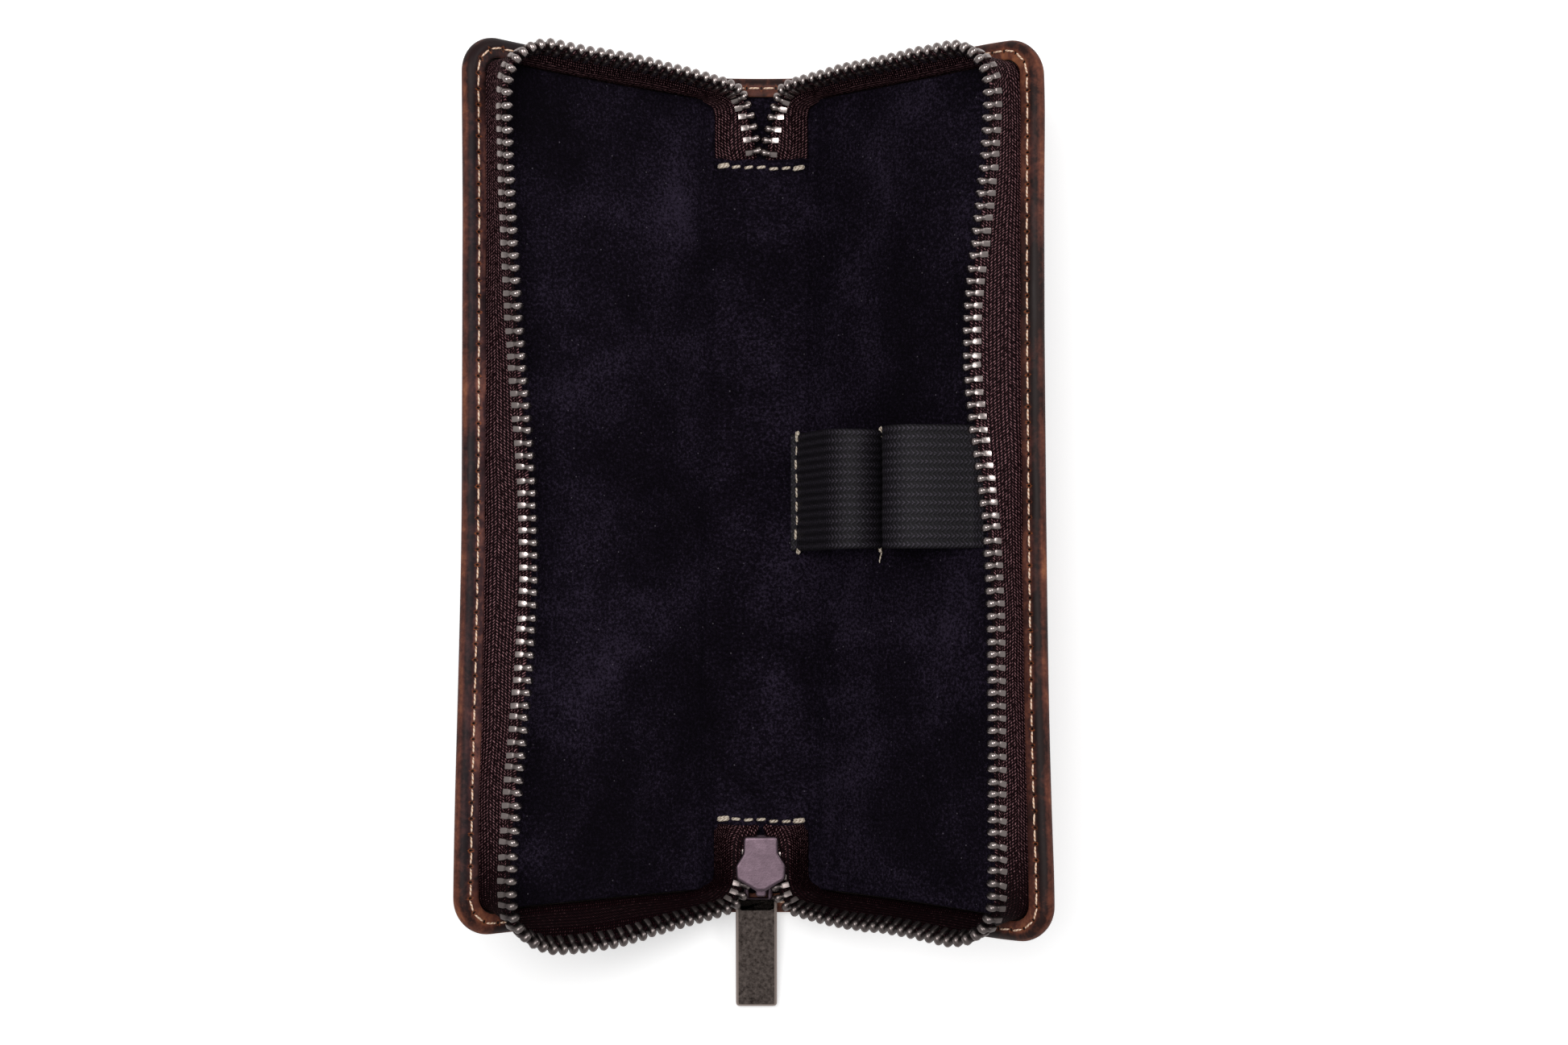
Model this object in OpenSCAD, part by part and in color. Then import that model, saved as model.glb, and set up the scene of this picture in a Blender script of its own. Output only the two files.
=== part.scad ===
// Zip-round pen case lying open on its spine.
// Origin: centre of the spine's underside. +X: right cover, +Y: away from the slider, +Z: up.

/* [Case] */
// Length of the case along the spine
case_length = 180; // [160:1:210]
// Width of each cover, from its fold to its outer edge
cover_width = 61; // [58:1:72]
// Width of the spine, from fold to fold
spine_width = 27; // [26:0.5:32]
// Radius of the covers' outer corners
corner_radius = 8; // [7:0.5:12]
// Angle of the left cover above the table
left_tilt = 40; // [25:1:50]
// Angle of the right cover above the table
right_tilt = 44.3; // [25:0.1:50]

/* [Leather] */
// Thickness of the outer leather
leather_t = 1.3; // [1:0.1:1.6]
// Thickness of the skived leather that is turned over the edge
turned_t = 0.9; // [0.6:0.1:1.2]
// Width of the turned-over rim
rim_width = 4.2; // [4:0.1:6]
// Distance of the edge stitching from the edge
stitch_inset = 2.4; // [2.2:0.1:3.2]
// Gap between the leather of two neighbouring panels at a fold
fold_gap = 0.35; // [0.3:0.05:0.5]

/* [Layers] */
// Thickness of the stiffening boards
board_t = 1; // [0.6:0.1:1.4]
// Thickness of the foam padding under the cover linings
padding_t = 1.5; // [1:0.1:2]
// Thickness of the suede lining
lining_t = 0.8; // [0.5:0.1:1.2]
// Distance of the suede strip's ends from the ends of the spine
strip_inset = 17.5; // [16:0.5:19]

/* [Zip] */
// Pitch of the teeth
tooth_pitch = 2.5; // [2.3:0.05:3]
// Length of a tooth, from its legs to the tip of its head
tooth_length = 3.9; // [3.4:0.1:4.4]
// Thickness of a tooth along the tape
tooth_t = 1.1; // [0.9:0.05:1.3]
// Height of a tooth across the tape
tooth_height = 2.6; // [2.2:0.1:3]
// Thickness of the zip tape
tape_t = 0.6; // [0.5:0.05:0.8]
// Gap between the teeth of the two covers when they are shut
chain_gap = 1; // [0.8:0.1:1.4]
// Radius of the chain's outer corners
chain_corner = 11; // [9:0.5:14]
// How far the top wall's teeth lie beyond its foot
top_flare = 2; // [1:0.1:3]
// How far the bottom wall's teeth lie beyond its foot
bottom_flare = 4; // [3:0.1:5]
// How far the bottom wall's teeth bulge out between its corner and the fold
bottom_bulge = 1.5; // [0:0.1:2]

/* [Slider] */
// Widest width of the slider
slider_width = 10.7; // [10:0.1:11.5]
// Width of the slider's neck
slider_neck = 7.4; // [7:0.1:8]
// Length of the slider's plates
slider_length = 11.5; // [11:0.1:12.5]
// Thickness of each plate
plate_t = 1; // [0.8:0.05:1.2]
// Height of the channel between the plates
channel_h = 3.3; // [3.1:0.1:3.8]
// Distance of the slider's wide end from the end of the spine
slider_inset = 5.5; // [5:0.1:6]
// Width of the pull tab
tab_width = 8.8; // [8:0.1:9.4]
// Length of the pull tab
tab_length = 24.3; // [20:0.1:30]
// Thickness of the pull tab
tab_t = 1.8; // [1.6:0.1:2.2]
// Angle of the pull tab below the level
tab_droop = 9.5; // [8:0.1:10]
// Diameter of the pull ring's wire
wire_d = 1.2; // [1:0.05:1.3]
// Sideways place of the ring and the tab, which have play in the slider's loop
pull_shift = -0.6; // [-0.6:0.1:0.6]

/* [Pen loops] */
// Width of the elastic band
elastic_width = 25; // [15:1:35]
// Thickness of the elastic band
elastic_t = 1; // [0.8:0.1:1.2]
// Diameter of the pens that the loops are shaped for
pen_d = 10.4; // [9:0.1:11]
// Distance of the near pen's axis from the right fold
near_pen = 16.9; // [16:0.1:18]
// Distance of the far pen's axis from the right fold
far_pen = 33.7; // [33:0.1:35]
// Distance of the middle seam from the right fold
middle_seam = 22.5; // [22:0.1:23.5]
// Distance of the band's end seam from the right fold
end_seam = 46; // [44:0.5:47]
// Distance of the spine seam from the right fold, across the spine
spine_seam = 5.5; // [4:0.1:6]

/* [Thread] */
// Diameter of the sewing thread
thread_d = 0.7; // [0.5:0.05:0.9]
// Pitch of the edge stitches
stitch_pitch = 3.15; // [2.8:0.05:4]
// Length of a stitch that shows
stitch_length = 2.3; // [1.8:0.1:2.6]

/* [Hidden] */
$fn = 48;

// Levels above a panel's leather mid-plane, from the outside to the inside
skin_top = leather_t / 2;
board_top = skin_top + board_t;
rim_low = board_top + tape_t;
rim_top = rim_low + turned_t;
cover_lining_low = board_top + padding_t;
cover_lining_top = cover_lining_low + lining_t;
spine_lining_top = board_top + lining_t;
edge_radius = (skin_top + rim_top) / 2;
slot_radius = (rim_low - skin_top) / 2;

// Where panels start beside a fold
leather_start = skin_top + fold_gap;
layers_start = rim_top + 1.2;
half_length = case_length / 2;
half_spine = spine_width / 2;
strip_half = half_length - strip_inset;
spine_layers_half = half_spine - 1.2;

// The chain: head plane, foot of the tape wall and the bends beside the folds
head_level = half_spine - chain_gap / 2;
wall_foot_u = cover_width - rim_width - tape_t / 2;
wall_foot_v = half_length - rim_width - tape_t / 2;
wall_foot_w = board_top + tape_t / 2;
knee_level = cover_lining_top + 0.4;
hem_width = 2.4;
foot_corner = 4;
board_inset = edge_radius + 0.1;
lining_inset = rim_width + tape_t + 0.4;
lining_corner = foot_corner - (lining_inset - rim_width - tape_t / 2);
bend_start = layers_start + 1.4;
bend_gap = 0.5;
knee_x = 6.2;
end_tip_x = 1.1;
turn_tip_x = 2;
tooth_seat = 0.15;
flat_chain_z = leather_t / 2 + rim_top + tooth_height / 2 + 0.2;
flat_foot_z = leather_t / 2 + board_top + tape_t;
flat_foot_x = spine_layers_half - 2.4;
turn_inset = 7;
chain_end_y = strip_half + 1;
chain_turn_y = half_length - turn_inset;

// The slider's levels: ring loop, lower plate, channel and upper plate
pull_clearance = 0.3;
over_stitches = leather_t / 2 + rim_top + thread_d / 2 + pull_clearance;
loop_low = over_stitches;
loop_t = 0.8;
loop_gap = wire_d + 0.25;
lower_plate_low = loop_low + loop_t + loop_gap;
channel_low = lower_plate_low + plate_t;
slider_chain_z = channel_low + channel_h / 2;
slider_far_y = slider_inset - half_length;
slider_near_y = slider_far_y + slider_length;
ring_reach = 3.4;
tab_reach = 3.6;
ring_axis_y = slider_far_y + ring_reach;
ring_axis_z = loop_low + loop_t + loop_gap / 2;
tab_axis_y = slider_far_y - tab_reach;
tab_axis_z = over_stitches + tab_t / 2;

function is_left(side) = side == "left";
function tilt_of(side) = is_left(side) ? left_tilt : right_tilt;

// A point of a cover: u from the fold, v along the case, w above the leather's mid-plane
function cover_point(side, u, v, w) =
    let (a = tilt_of(side))
    [half_spine + u * cos(a) - w * sin(a), v, leather_t / 2 + u * sin(a) + w * cos(a)];

// The inward lean of a side wall's teeth: [how far, where along the case, over what length]
left_lean = [7, -15, 50];
right_lean = [7, 28, 31];
left_lean_out = 1.5;
right_lean_out = 0.7;
top_splay = 0.07;
bottom_splay = 0.06;
function lean(l, v) = l[0] * exp(-pow((v - l[1]) / l[2], 2));
function head_u(side, v) = is_left(side)
    ? wall_foot_u + left_lean_out - lean(left_lean, v)
    : wall_foot_u + right_lean_out - lean(right_lean, v);
function top_head_v(u) = wall_foot_v + top_flare + top_splay * (u - bend_start);
function bottom_head_v(u) = -(wall_foot_v + bottom_flare + bottom_splay * (u - bend_start)
    + bottom_bulge * sin(180 * (u - bend_start) / (wall_foot_u - chain_corner - bend_start)));

function bezier(a, b, c, d, t) =
    a * pow(1 - t, 3) + 3 * b * t * pow(1 - t, 2) + 3 * c * t * t * (1 - t) + d * pow(t, 3);

// The stations of one side's zip, from the top end of the spine round the cover to the bottom end
// of the spine: each is the tooth's tip, the knee and the foot of the tape wall, and its sewn hem
function wall_station(side, tip, foot, out) = [
    cover_point(side, tip[0], tip[1], head_level),
    cover_point(side, foot[0], foot[1], knee_level),
    cover_point(side, foot[0], foot[1], wall_foot_w),
    cover_point(side, foot[0] + hem_width * out[0], foot[1] + hem_width * out[1], wall_foot_w)
];
function end_stations(z) = [
    for (i = [0:2])
    let (t = i / 2, y = chain_end_y + t * (chain_turn_y - chain_end_y))
    let (foot = [flat_foot_x, y, flat_foot_z])
    [[end_tip_x + (turn_tip_x - end_tip_x) * t, y, z], [knee_x, y, z], foot, foot]
];
function bend_stations(side, z, head_v) =
    let (
        head_end = cover_point(side, bend_start, head_v, head_level),
        knee_end = cover_point(side, bend_start, wall_foot_v, knee_level),
        foot_end = cover_point(side, bend_start, wall_foot_v, wall_foot_w),
        along = [cos(tilt_of(side)), 0, sin(tilt_of(side))],
        head_low = [turn_tip_x, chain_turn_y, z],
        knee_low = [knee_x, chain_turn_y, z],
        foot_low = [flat_foot_x, chain_turn_y, flat_foot_z]
    )
    [
        for (i = [1:7])
        let (
            t = i / 8,
            foot = bezier(foot_low, foot_low + [1, 1.2, 0.4], foot_end - along * 3, foot_end, t)
        )
        [
            bezier(head_low, head_low + [0, 4.5, 1.5], head_end - along * 5.5, head_end, t),
            bezier(knee_low, knee_low + [1, 1.5, 0.4], knee_end - along * 3, knee_end, t),
            foot, foot
        ]
    ];
function flipped(stations) = [
    for (i = [len(stations) - 1:-1:0])
    [for (p = stations[i]) [p[0], -p[1], p[2]]]
];
function wall_stations(side) =
    let (
        last_u = wall_foot_u - foot_corner,
        side_v = wall_foot_v + top_flare - chain_corner + 1,
        low_v = -(wall_foot_v + bottom_flare - chain_corner),
        corner_u = function (v) head_u(side, v) - chain_corner
    )
    concat(
        [
            for (i = [0:10])
            let (u = bend_start + i / 10 * (corner_u(side_v) - bend_start))
            wall_station(side, [u, top_head_v(u)], [u, wall_foot_v], [0, 1])
        ],
        corner_stations(side, corner_u(side_v), top_head_v(corner_u(side_v)) - chain_corner, last_u, 1),
        [
            for (i = [0:24])
            let (v = side_v + i / 24 * (low_v - side_v))
            wall_station(side, [head_u(side, v), v], [wall_foot_u, v], [1, 0])
        ],
        corner_stations(side, corner_u(low_v), bottom_head_v(corner_u(low_v)) + chain_corner, last_u, -1),
        [
            for (i = [10:-1:0])
            let (u = bend_start + i / 10 * (corner_u(low_v) - bend_start))
            wall_station(side, [u, bottom_head_v(u)], [u, -wall_foot_v], [0, -1])
        ]
    );
// Stations round one corner of the wall: the tips turn about (tip_u, tip_v), while the foot runs
// straight on to last_u and then turns in its tighter corner. end is 1 at the top corner and -1 at
// the bottom one.
function corner_stations(side, tip_u, tip_v, last_u, end) = [
    for (i = [1:9])
    let (
        part = end > 0 ? i / 10 : 1 - i / 10,
        a = 90 - 90 * part,
        foot_a = 90 - 90 * max(0, 2 * part - 1),
        out = [cos(foot_a), end * sin(foot_a)],
        foot_centre = [tip_u + (last_u - tip_u) * min(1, 2 * part), end * (wall_foot_v - foot_corner)]
    )
    wall_station(side, [tip_u + chain_corner * cos(a), tip_v + end * chain_corner * sin(a)],
                 foot_centre + foot_corner * out, out)
];
function zip_stations(side) = concat(
    end_stations(flat_chain_z),
    bend_stations(side, flat_chain_z, top_head_v(bend_start)),
    wall_stations(side),
    flipped(bend_stations(side, slider_chain_z, -bottom_head_v(bend_start))),
    flipped(end_stations(slider_chain_z))
);

// Distances along the tips of the teeth, and anything looked up by that distance
function distances(stations, i = 0, sum = 0) =
    i == len(stations) - 1 ? [sum]
    : concat([sum], distances(stations, i + 1, sum + norm(stations[i + 1][0] - stations[i][0])));
function value_at(stations, dist, part, s) = [
    for (k = [0:2]) lookup(s, [for (i = [0:len(dist) - 1]) [dist[i], stations[i][part][k]]])
];

left_stations = zip_stations("left");
right_stations = zip_stations("right");
left_dist = distances(left_stations);
right_dist = distances(right_stations);
function stations_of(side) = is_left(side) ? left_stations : right_stations;
function dist_of(side) = is_left(side) ? left_dist : right_dist;

// The stretches of a zip by distance: top end, top bend, cover, bottom bend, bottom end
end_count = 3;
bend_count = 7;
function mark(side, k) =
    let (d = dist_of(side), n = len(d) - 1)
    k == 0 ? 0
    : k == 1 ? d[end_count - 1]
    : k == 2 ? d[end_count + bend_count]
    : k == 3 ? d[n - end_count - bend_count]
    : k == 4 ? d[n - end_count + 1]
    : d[n];

module on_side(side) {
    mirror([is_left(side) ? 1 : 0, 0, 0])
        children();
}

module on_cover(side) {
    on_side(side)
        translate([half_spine, 0, leather_t / 2])
            rotate([0, -tilt_of(side), 0])
                children();
}

// ---- Leather ----

// Section across an edge: x from the edge inwards, y above the mid-plane
module edge_section() {
    difference() {
        union() {
            translate([edge_radius, rim_top - edge_radius])
                circle(edge_radius);
            translate([edge_radius, -skin_top])
                square([rim_width - edge_radius, 2 * edge_radius]);
        }
        translate([edge_radius, rim_low - slot_radius])
            circle(slot_radius);
        translate([edge_radius, skin_top])
            square([rim_width, 2 * slot_radius]);
    }
}

// A straight edge that runs along +X from the origin, with the panel on its +Y side
module straight_edge(length) {
    rotate([90, 0, 90])
        linear_extrude(length)
            edge_section();
}

// A quarter of an edge round a corner centred on the origin, in the +X +Y quadrant
module corner_edge() {
    rotate_extrude(angle = 90, $fn = 96)
        translate([corner_radius, 0])
            mirror([1, 0])
                edge_section();
}

module cover_leather(side) {
    run = cover_width - corner_radius - layers_start;
    color("saddlebrown") on_cover(side) {
        translate([layers_start, -half_length, 0])
            straight_edge(run);
        translate([cover_width - corner_radius, half_length, 0])
            rotate([0, 0, 180])
                straight_edge(run);
        translate([cover_width, -half_length + corner_radius, 0])
            rotate([0, 0, 90])
                straight_edge(case_length - 2 * corner_radius);
        for (end = [0, 1])
            mirror([0, end, 0])
                translate([cover_width - corner_radius, half_length - corner_radius, 0])
                    corner_edge();
        translate([0, 0, -skin_top])
            linear_extrude(leather_t)
                skin_outline(leather_start);
    }
}

// The skin inside the turned edges, with plain ends beside the fold
module skin_outline(start) {
    inner_corner = corner_radius - rim_width;
    inner_half = half_length - rim_width;
    translate([start, -inner_half])
        square([cover_width - corner_radius - start, 2 * inner_half]);
    translate([start, -half_length + edge_radius])
        square([layers_start - start, case_length - 2 * edge_radius]);
    translate([cover_width - corner_radius - 0.01, -inner_half + inner_corner])
        square([inner_corner + 0.01, 2 * (inner_half - inner_corner)]);
    for (y = [-1, 1])
        translate([cover_width - corner_radius, y * (inner_half - inner_corner)])
            circle(inner_corner);
}

module spine_leather() {
    run = 2 * spine_layers_half;
    color("sienna") translate([0, 0, leather_t / 2]) {
        translate([-spine_layers_half, -half_length, 0])
            straight_edge(run);
        translate([spine_layers_half, half_length, 0])
            rotate([0, 0, 180])
                straight_edge(run);
        translate([-half_spine, -half_length + edge_radius, -skin_top])
            cube([spine_width, case_length - 2 * edge_radius, leather_t]);
        for (x = [-half_spine, half_spine])
            translate([x, -half_length + edge_radius, 0])
                rotate([-90, 0, 0])
                    cylinder(h = case_length - 2 * edge_radius, r = skin_top);
    }
}

// ---- Boards, padding and lining ----

// A cover-shaped outline, inset from the outer edges by a corner radius and starting beside the fold
module inset_outline(start, inset, r) {
    half = half_length - inset;
    translate([start, -half])
        square([cover_width - inset - r - start, 2 * half]);
    translate([cover_width - inset - r - 0.01, -half + r])
        square([r + 0.01, 2 * (half - r)]);
    for (y = [-1, 1])
        translate([cover_width - inset - r, y * (half - r)])
            circle(r);
}

module cover_layer(side, tone, low, thickness, inset, r) {
    color(tone)
        on_cover(side)
            translate([0, 0, low])
                linear_extrude(thickness)
                    inset_outline(layers_start, inset, r);
}

module cover_board(side) {
    cover_layer(side, "gray", skin_top, board_t, board_inset, corner_radius - board_inset);
}
module cover_padding(side) {
    cover_layer(side, "dimgray", board_top, padding_t, lining_inset, lining_corner);
}
module cover_lining(side) {
    cover_layer(side, "midnightblue", cover_lining_low, lining_t, lining_inset, lining_corner);
}

module spine_board() {
    color("gray")
        translate([-spine_layers_half, -half_length + board_inset, leather_t])
            cube([2 * spine_layers_half, case_length - 2 * board_inset, board_t]);
}

module spine_lining() {
    color("midnightblue")
        translate([-spine_layers_half, -strip_half, leather_t + board_t])
            cube([2 * spine_layers_half, 2 * strip_half, lining_t]);
}

// ---- Stitching ----

// One stitch lying along +X on the plane z = 0, centred on the origin
module stitch(length) {
    rotate([90, 0, 90])
        linear_extrude(length, center = true)
            intersection() {
                circle(d = thread_d, $fn = 16);
                translate([-thread_d / 2, 0])
                    square([thread_d, thread_d / 2]);
            }
}

// A row of stitches along +X from the origin
module stitch_row(length, pitch) {
    count = floor(length / pitch);
    for (i = [0:count - 1])
        translate([(i + 0.5) * length / count, 0, 0])
            stitch(stitch_length);
}

module edge_stitching(side) {
    arc = corner_radius - stitch_inset;
    run = cover_width - corner_radius - layers_start;
    color("tan") on_cover(side) translate([0, 0, rim_top]) {
        for (end = [-1, 1]) {
            translate([layers_start, end * (half_length - stitch_inset), 0])
                stitch_row(run, stitch_pitch);
            for (a = [22.5, 67.5])
                translate([cover_width - corner_radius + arc * cos(a),
                           end * (half_length - corner_radius + arc * sin(a)), 0])
                    rotate([0, 0, end * (a + 90)])
                        stitch(stitch_length);
        }
        translate([cover_width - stitch_inset, -half_length + corner_radius, 0])
            rotate([0, 0, 90])
                stitch_row(case_length - 2 * corner_radius, stitch_pitch);
    }
}

module spine_edge_stitching() {
    color("tan")
        for (end = [-1, 1])
            translate([-spine_layers_half, end * (half_length - stitch_inset),
                       leather_t / 2 + rim_top])
                stitch_row(2 * spine_layers_half, stitch_pitch);
}

strip_stitches = 7;
strip_seam_inset = 2.1;
module strip_end_stitching() {
    color("tan")
        for (end = [-1, 1])
            translate([-spine_layers_half + 1.5, end * (strip_half - strip_seam_inset),
                       leather_t + board_t + lining_t])
                stitch_row(2 * spine_layers_half - 3, (2 * spine_layers_half - 3) / strip_stitches - 0.01);
}

// ---- Zip ----

function unit(v) = v / norm(v);

// Faces of a closed tube of rings, each ring with as many points. The caps are cut across the
// ring's thin way, because a ring can be bent.
function cap_faces(first, k, turned) = [
    for (j = [0:k / 2 - 2])
    for (f = turned
        ? [[k - 1 - j, k - 2 - j, j + 1], [k - 1 - j, j + 1, j]]
        : [[j, j + 1, k - 2 - j], [j, k - 2 - j, k - 1 - j]])
        [for (p = f) first + p]
];
function tube_faces(rings, k) = concat(
    cap_faces(0, k, true),
    [for (i = [0:rings - 2]) for (j = [0:k - 1])
        [i * k + j, i * k + (j + 1) % k, (i + 1) * k + (j + 1) % k]],
    [for (i = [0:rings - 2]) for (j = [0:k - 1])
        [i * k + j, (i + 1) * k + (j + 1) % k, (i + 1) * k + j]],
    cap_faces((rings - 1) * k, k, false)
);

// A ring of even thickness round a line of points, seen along the direction ahead
function strip_ring(line, ahead) =
    let (
        n = len(line) - 1,
        sides = [for (i = [0:n - 1]) unit(cross(line[i + 1] - line[i], ahead))],
        offsets = [
            for (i = [0:n])
            let (a = sides[max(i - 1, 0)], b = sides[min(i, n - 1)])
            (a + b) / (1 + a * b) * tape_t / 2
        ]
    )
    concat([for (i = [0:n]) line[i] - offsets[i]], [for (i = [n:-1:0]) line[i] + offsets[i]]);

// A strip of tape between two distances, from its hem or foot up to the teeth's legs
module tape_strip(side, from, to, hemmed = false) {
    st = stations_of(side);
    dist = dist_of(side);
    steps = max(2, ceil((to - from) / 4));
    rings = [
        for (i = [0:steps])
        let (
            s = from + (to - from) * i / steps,
            tip = value_at(st, dist, 0, s),
            knee = value_at(st, dist, 1, s),
            foot = value_at(st, dist, 2, s),
            hem = value_at(st, dist, 3, s),
            ahead = value_at(st, dist, 2, s + 0.5) - value_at(st, dist, 2, s - 0.5),
            top = tip - unit(tip - knee) * (tooth_length + tooth_seat)
        )
        strip_ring(hemmed ? [hem, foot, knee, top] : [foot, knee, top], ahead)
    ];
    color("#35211f")
        on_side(side)
            polyhedron(points = [for (r = rings) for (p = r) p], faces = tube_faces(steps + 1, len(rings[0])),
                       convexity = 8);
}

// One tooth: tip at the origin, pointing along +Z, tape running along +X
module tooth() {
    leg = 1.5;
    neck = 1.5;
    translate([-tooth_t / 2, -neck / 2, -tooth_length])
        cube([tooth_t, neck, tooth_length - 0.6]);
    translate([-tooth_t / 2, -tooth_height / 2, -tooth_length])
        cube([tooth_t, tooth_height, leg]);
    translate([-tooth_t / 2, 0, -tooth_height / 2])
        rotate([0, 90, 0])
            cylinder(h = tooth_t, d = tooth_height, $fn = 24);
}

// The teeth between two distances along a side's zip
module teeth(side, from, to) {
    st = stations_of(side);
    dist = dist_of(side);
    first = ceil((from + tooth_t) / tooth_pitch);
    last = floor((to - tooth_t) / tooth_pitch);
    color("dimgray") on_side(side)
        for (i = [first:last])
            let (
                s = i * tooth_pitch,
                tip = value_at(st, dist, 0, s),
                knee = value_at(st, dist, 1, s),
                ahead = value_at(st, dist, 0, s + 0.5) - value_at(st, dist, 0, s - 0.5),
                up = unit(tip - knee),
                out = unit(cross(up, ahead)),
                along = cross(out, up)
            )
            multmatrix([
                [along[0], out[0], up[0], tip[0]],
                [along[1], out[1], up[1], tip[1]],
                [along[2], out[2], up[2], tip[2]]
            ])
                tooth();
}

module top_tape_ends() {
    for (side = ["left", "right"])
        tape_strip(side, mark(side, 0), mark(side, 1) - bend_gap / 2);
}
module bottom_tape_ends() {
    for (side = ["left", "right"])
        tape_strip(side, mark(side, 4) + bend_gap / 2, mark(side, 5));
}
module top_end_teeth() {
    for (side = ["left", "right"])
        teeth(side, mark(side, 0), mark(side, 1));
}
module bottom_end_teeth() {
    for (side = ["left", "right"])
        teeth(side, mark(side, 4), mark(side, 5));
}
module cover_tape(side) {
    tape_strip(side, mark(side, 2), mark(side, 3), hemmed = true);
}
module cover_teeth(side) {
    teeth(side, mark(side, 2), mark(side, 3));
}
module tape_bends(side) {
    tape_strip(side, mark(side, 1) + bend_gap / 2, mark(side, 2) - bend_gap);
    tape_strip(side, mark(side, 3) + bend_gap, mark(side, 4) - bend_gap / 2);
}
module bend_teeth(side) {
    teeth(side, mark(side, 1), mark(side, 2));
    teeth(side, mark(side, 3), mark(side, 4));
}

// ---- Pen loops ----

band_half = elastic_t / 2;
pen_radius = pen_d / 2 + band_half;
pen_level = cover_lining_top + pen_d / 2;

// Points of the band's middle line over one pen, from one seam to the next, in the plane (u, w)
function over_pen(a, c, b) =
    let (
        left = c - a,
        right = b - c,
        up_angle = atan2(left[1], left[0]) + asin(pen_radius / norm(left)),
        down_angle = atan2(right[1], right[0]) - asin(pen_radius / norm(right)),
        first = up_angle + 90,
        last = down_angle + 90
    )
    concat(
        [a],
        [for (i = [0:10]) let (t = first + (last - first) * i / 10) c + pen_radius * [cos(t), sin(t)]],
        [b]
    );

// A band of even thickness along points in the plane (u, w)
module band_outline(points) {
    n = len(points);
    normals = [
        for (i = [0:n - 1])
        let (d = points[min(i + 1, n - 1)] - points[max(i - 1, 0)])
        [-d[1], d[0]] / norm(d)
    ];
    polygon(concat(
        [for (i = [0:n - 1]) points[i] + normals[i] * band_half],
        [for (i = [n - 1:-1:0]) points[i] - normals[i] * band_half]
    ));
}

module band(points) {
    rotate([90, 0, 0])
        linear_extrude(elastic_width, center = true)
            band_outline(points);
}

// Cover coordinates of a point given in the case's frame, for the right cover
function to_cover(x, z) =
    let (a = right_tilt, dx = x - half_spine, dz = z - leather_t / 2)
    [dx * cos(a) + dz * sin(a), dz * cos(a) - dx * sin(a)];

foot_point = to_cover(half_spine - spine_seam, leather_t / 2 + spine_lining_top + band_half);
near_centre = [near_pen, pen_level];
far_centre = [far_pen, pen_level];
seam_level = cover_lining_top + band_half;
web_split = 1;
seam_half = 1.5;

module elastic_foot() {
    color("#24202a")
        translate([half_spine - spine_seam - 1.6, -elastic_width / 2, leather_t / 2 + spine_lining_top])
            cube([2.6, elastic_width, elastic_t]);
}

near_line = over_pen(foot_point, near_centre, [middle_seam - seam_half, seam_level]);
module elastic_web() {
    start = near_line[0];
    finish = near_line[web_split];
    run = unit(finish - start);
    color("#24202a")
        on_cover("right")
            band([start + run * 1.6, finish - run * 0.4]);
}

module elastic_loops() {
    rise = [for (i = [web_split:len(near_line) - 1]) near_line[i]];
    far_line = over_pen([middle_seam + seam_half, seam_level], far_centre, [end_seam, seam_level]);
    color("#24202a") on_cover("right")
        band(concat(rise, far_line, [[end_seam + 3, seam_level]]));
}

module seam(length, level) {
    translate([0, -length / 2, level])
        rotate([0, 0, 90])
            stitch_row(length, length / 9.99);
}

module elastic_foot_stitching() {
    color("tan")
        translate([half_spine - spine_seam - 0.4, 0, 0])
            seam(elastic_width - 1, leather_t / 2 + spine_lining_top + elastic_t);
}

module elastic_stitching() {
    color("tan") on_cover("right")
        translate([middle_seam, 0, 0])
            seam(elastic_width - 1, seam_level + band_half);
}

// ---- Slider and pull ----

neck_l = 3.6;
shoulder_l = 2.4;
point_l = 2.4;

// Plan outline of a plate, with its narrow end at the origin and its length along -Y
module plate_outline() {
    neck = slider_neck / 2;
    wide = slider_width / 2;
    widest = -neck_l - shoulder_l;
    polygon([
        [-neck, 0], [neck, 0], [neck, -neck_l], [wide, widest], [wide, point_l - slider_length],
        [0, -slider_length], [-wide, point_l - slider_length], [-wide, widest], [-neck, -neck_l]
    ]);
}

// A block centred across the slider, from its near to its far distance behind the wide end
module centred_block(width, near, length, low, height) {
    translate([-width / 2, near - slider_length, low])
        cube([width, length, height]);
}

module slider_body() {
    post_w = 2;
    post_l = 2.6;
    post_inset = 0.9;
    loop_w = 2.4;
    loop_l = 7;
    loop_inset = 1.2;
    tongue_out = 1.6;
    tongue_l = 3;
    lip_w = 0.7;
    lip_l = 3.2;
    lip_h = 0.15;
    color("#7e6973") translate([0, slider_near_y, 0]) {
        for (low = [lower_plate_low, channel_low + channel_h])
            translate([0, 0, low])
                linear_extrude(plate_t)
                    plate_outline();
        centred_block(post_w, post_inset, post_l, channel_low - plate_t / 2, channel_h + plate_t);
        centred_block(loop_w, -tongue_out, tongue_l, lower_plate_low, plate_t);
        // Lips that guide the chain at the neck
        for (x = [lip_w - slider_neck, slider_neck - lip_w] / 2)
            translate([x - lip_w / 2, -neck_l + 0.2, channel_low - plate_t / 2])
                cube([lip_w, lip_l, plate_t / 2 + lip_h]);
        // Loop below the lower plate that holds the pull ring
        difference() {
            centred_block(loop_w, loop_inset, loop_l, loop_low, lower_plate_low - loop_low + plate_t / 2);
            centred_block(2 * loop_w, loop_inset + loop_t, loop_l - 2 * loop_t, loop_low + loop_t, loop_gap);
        }
    }
}

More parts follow.
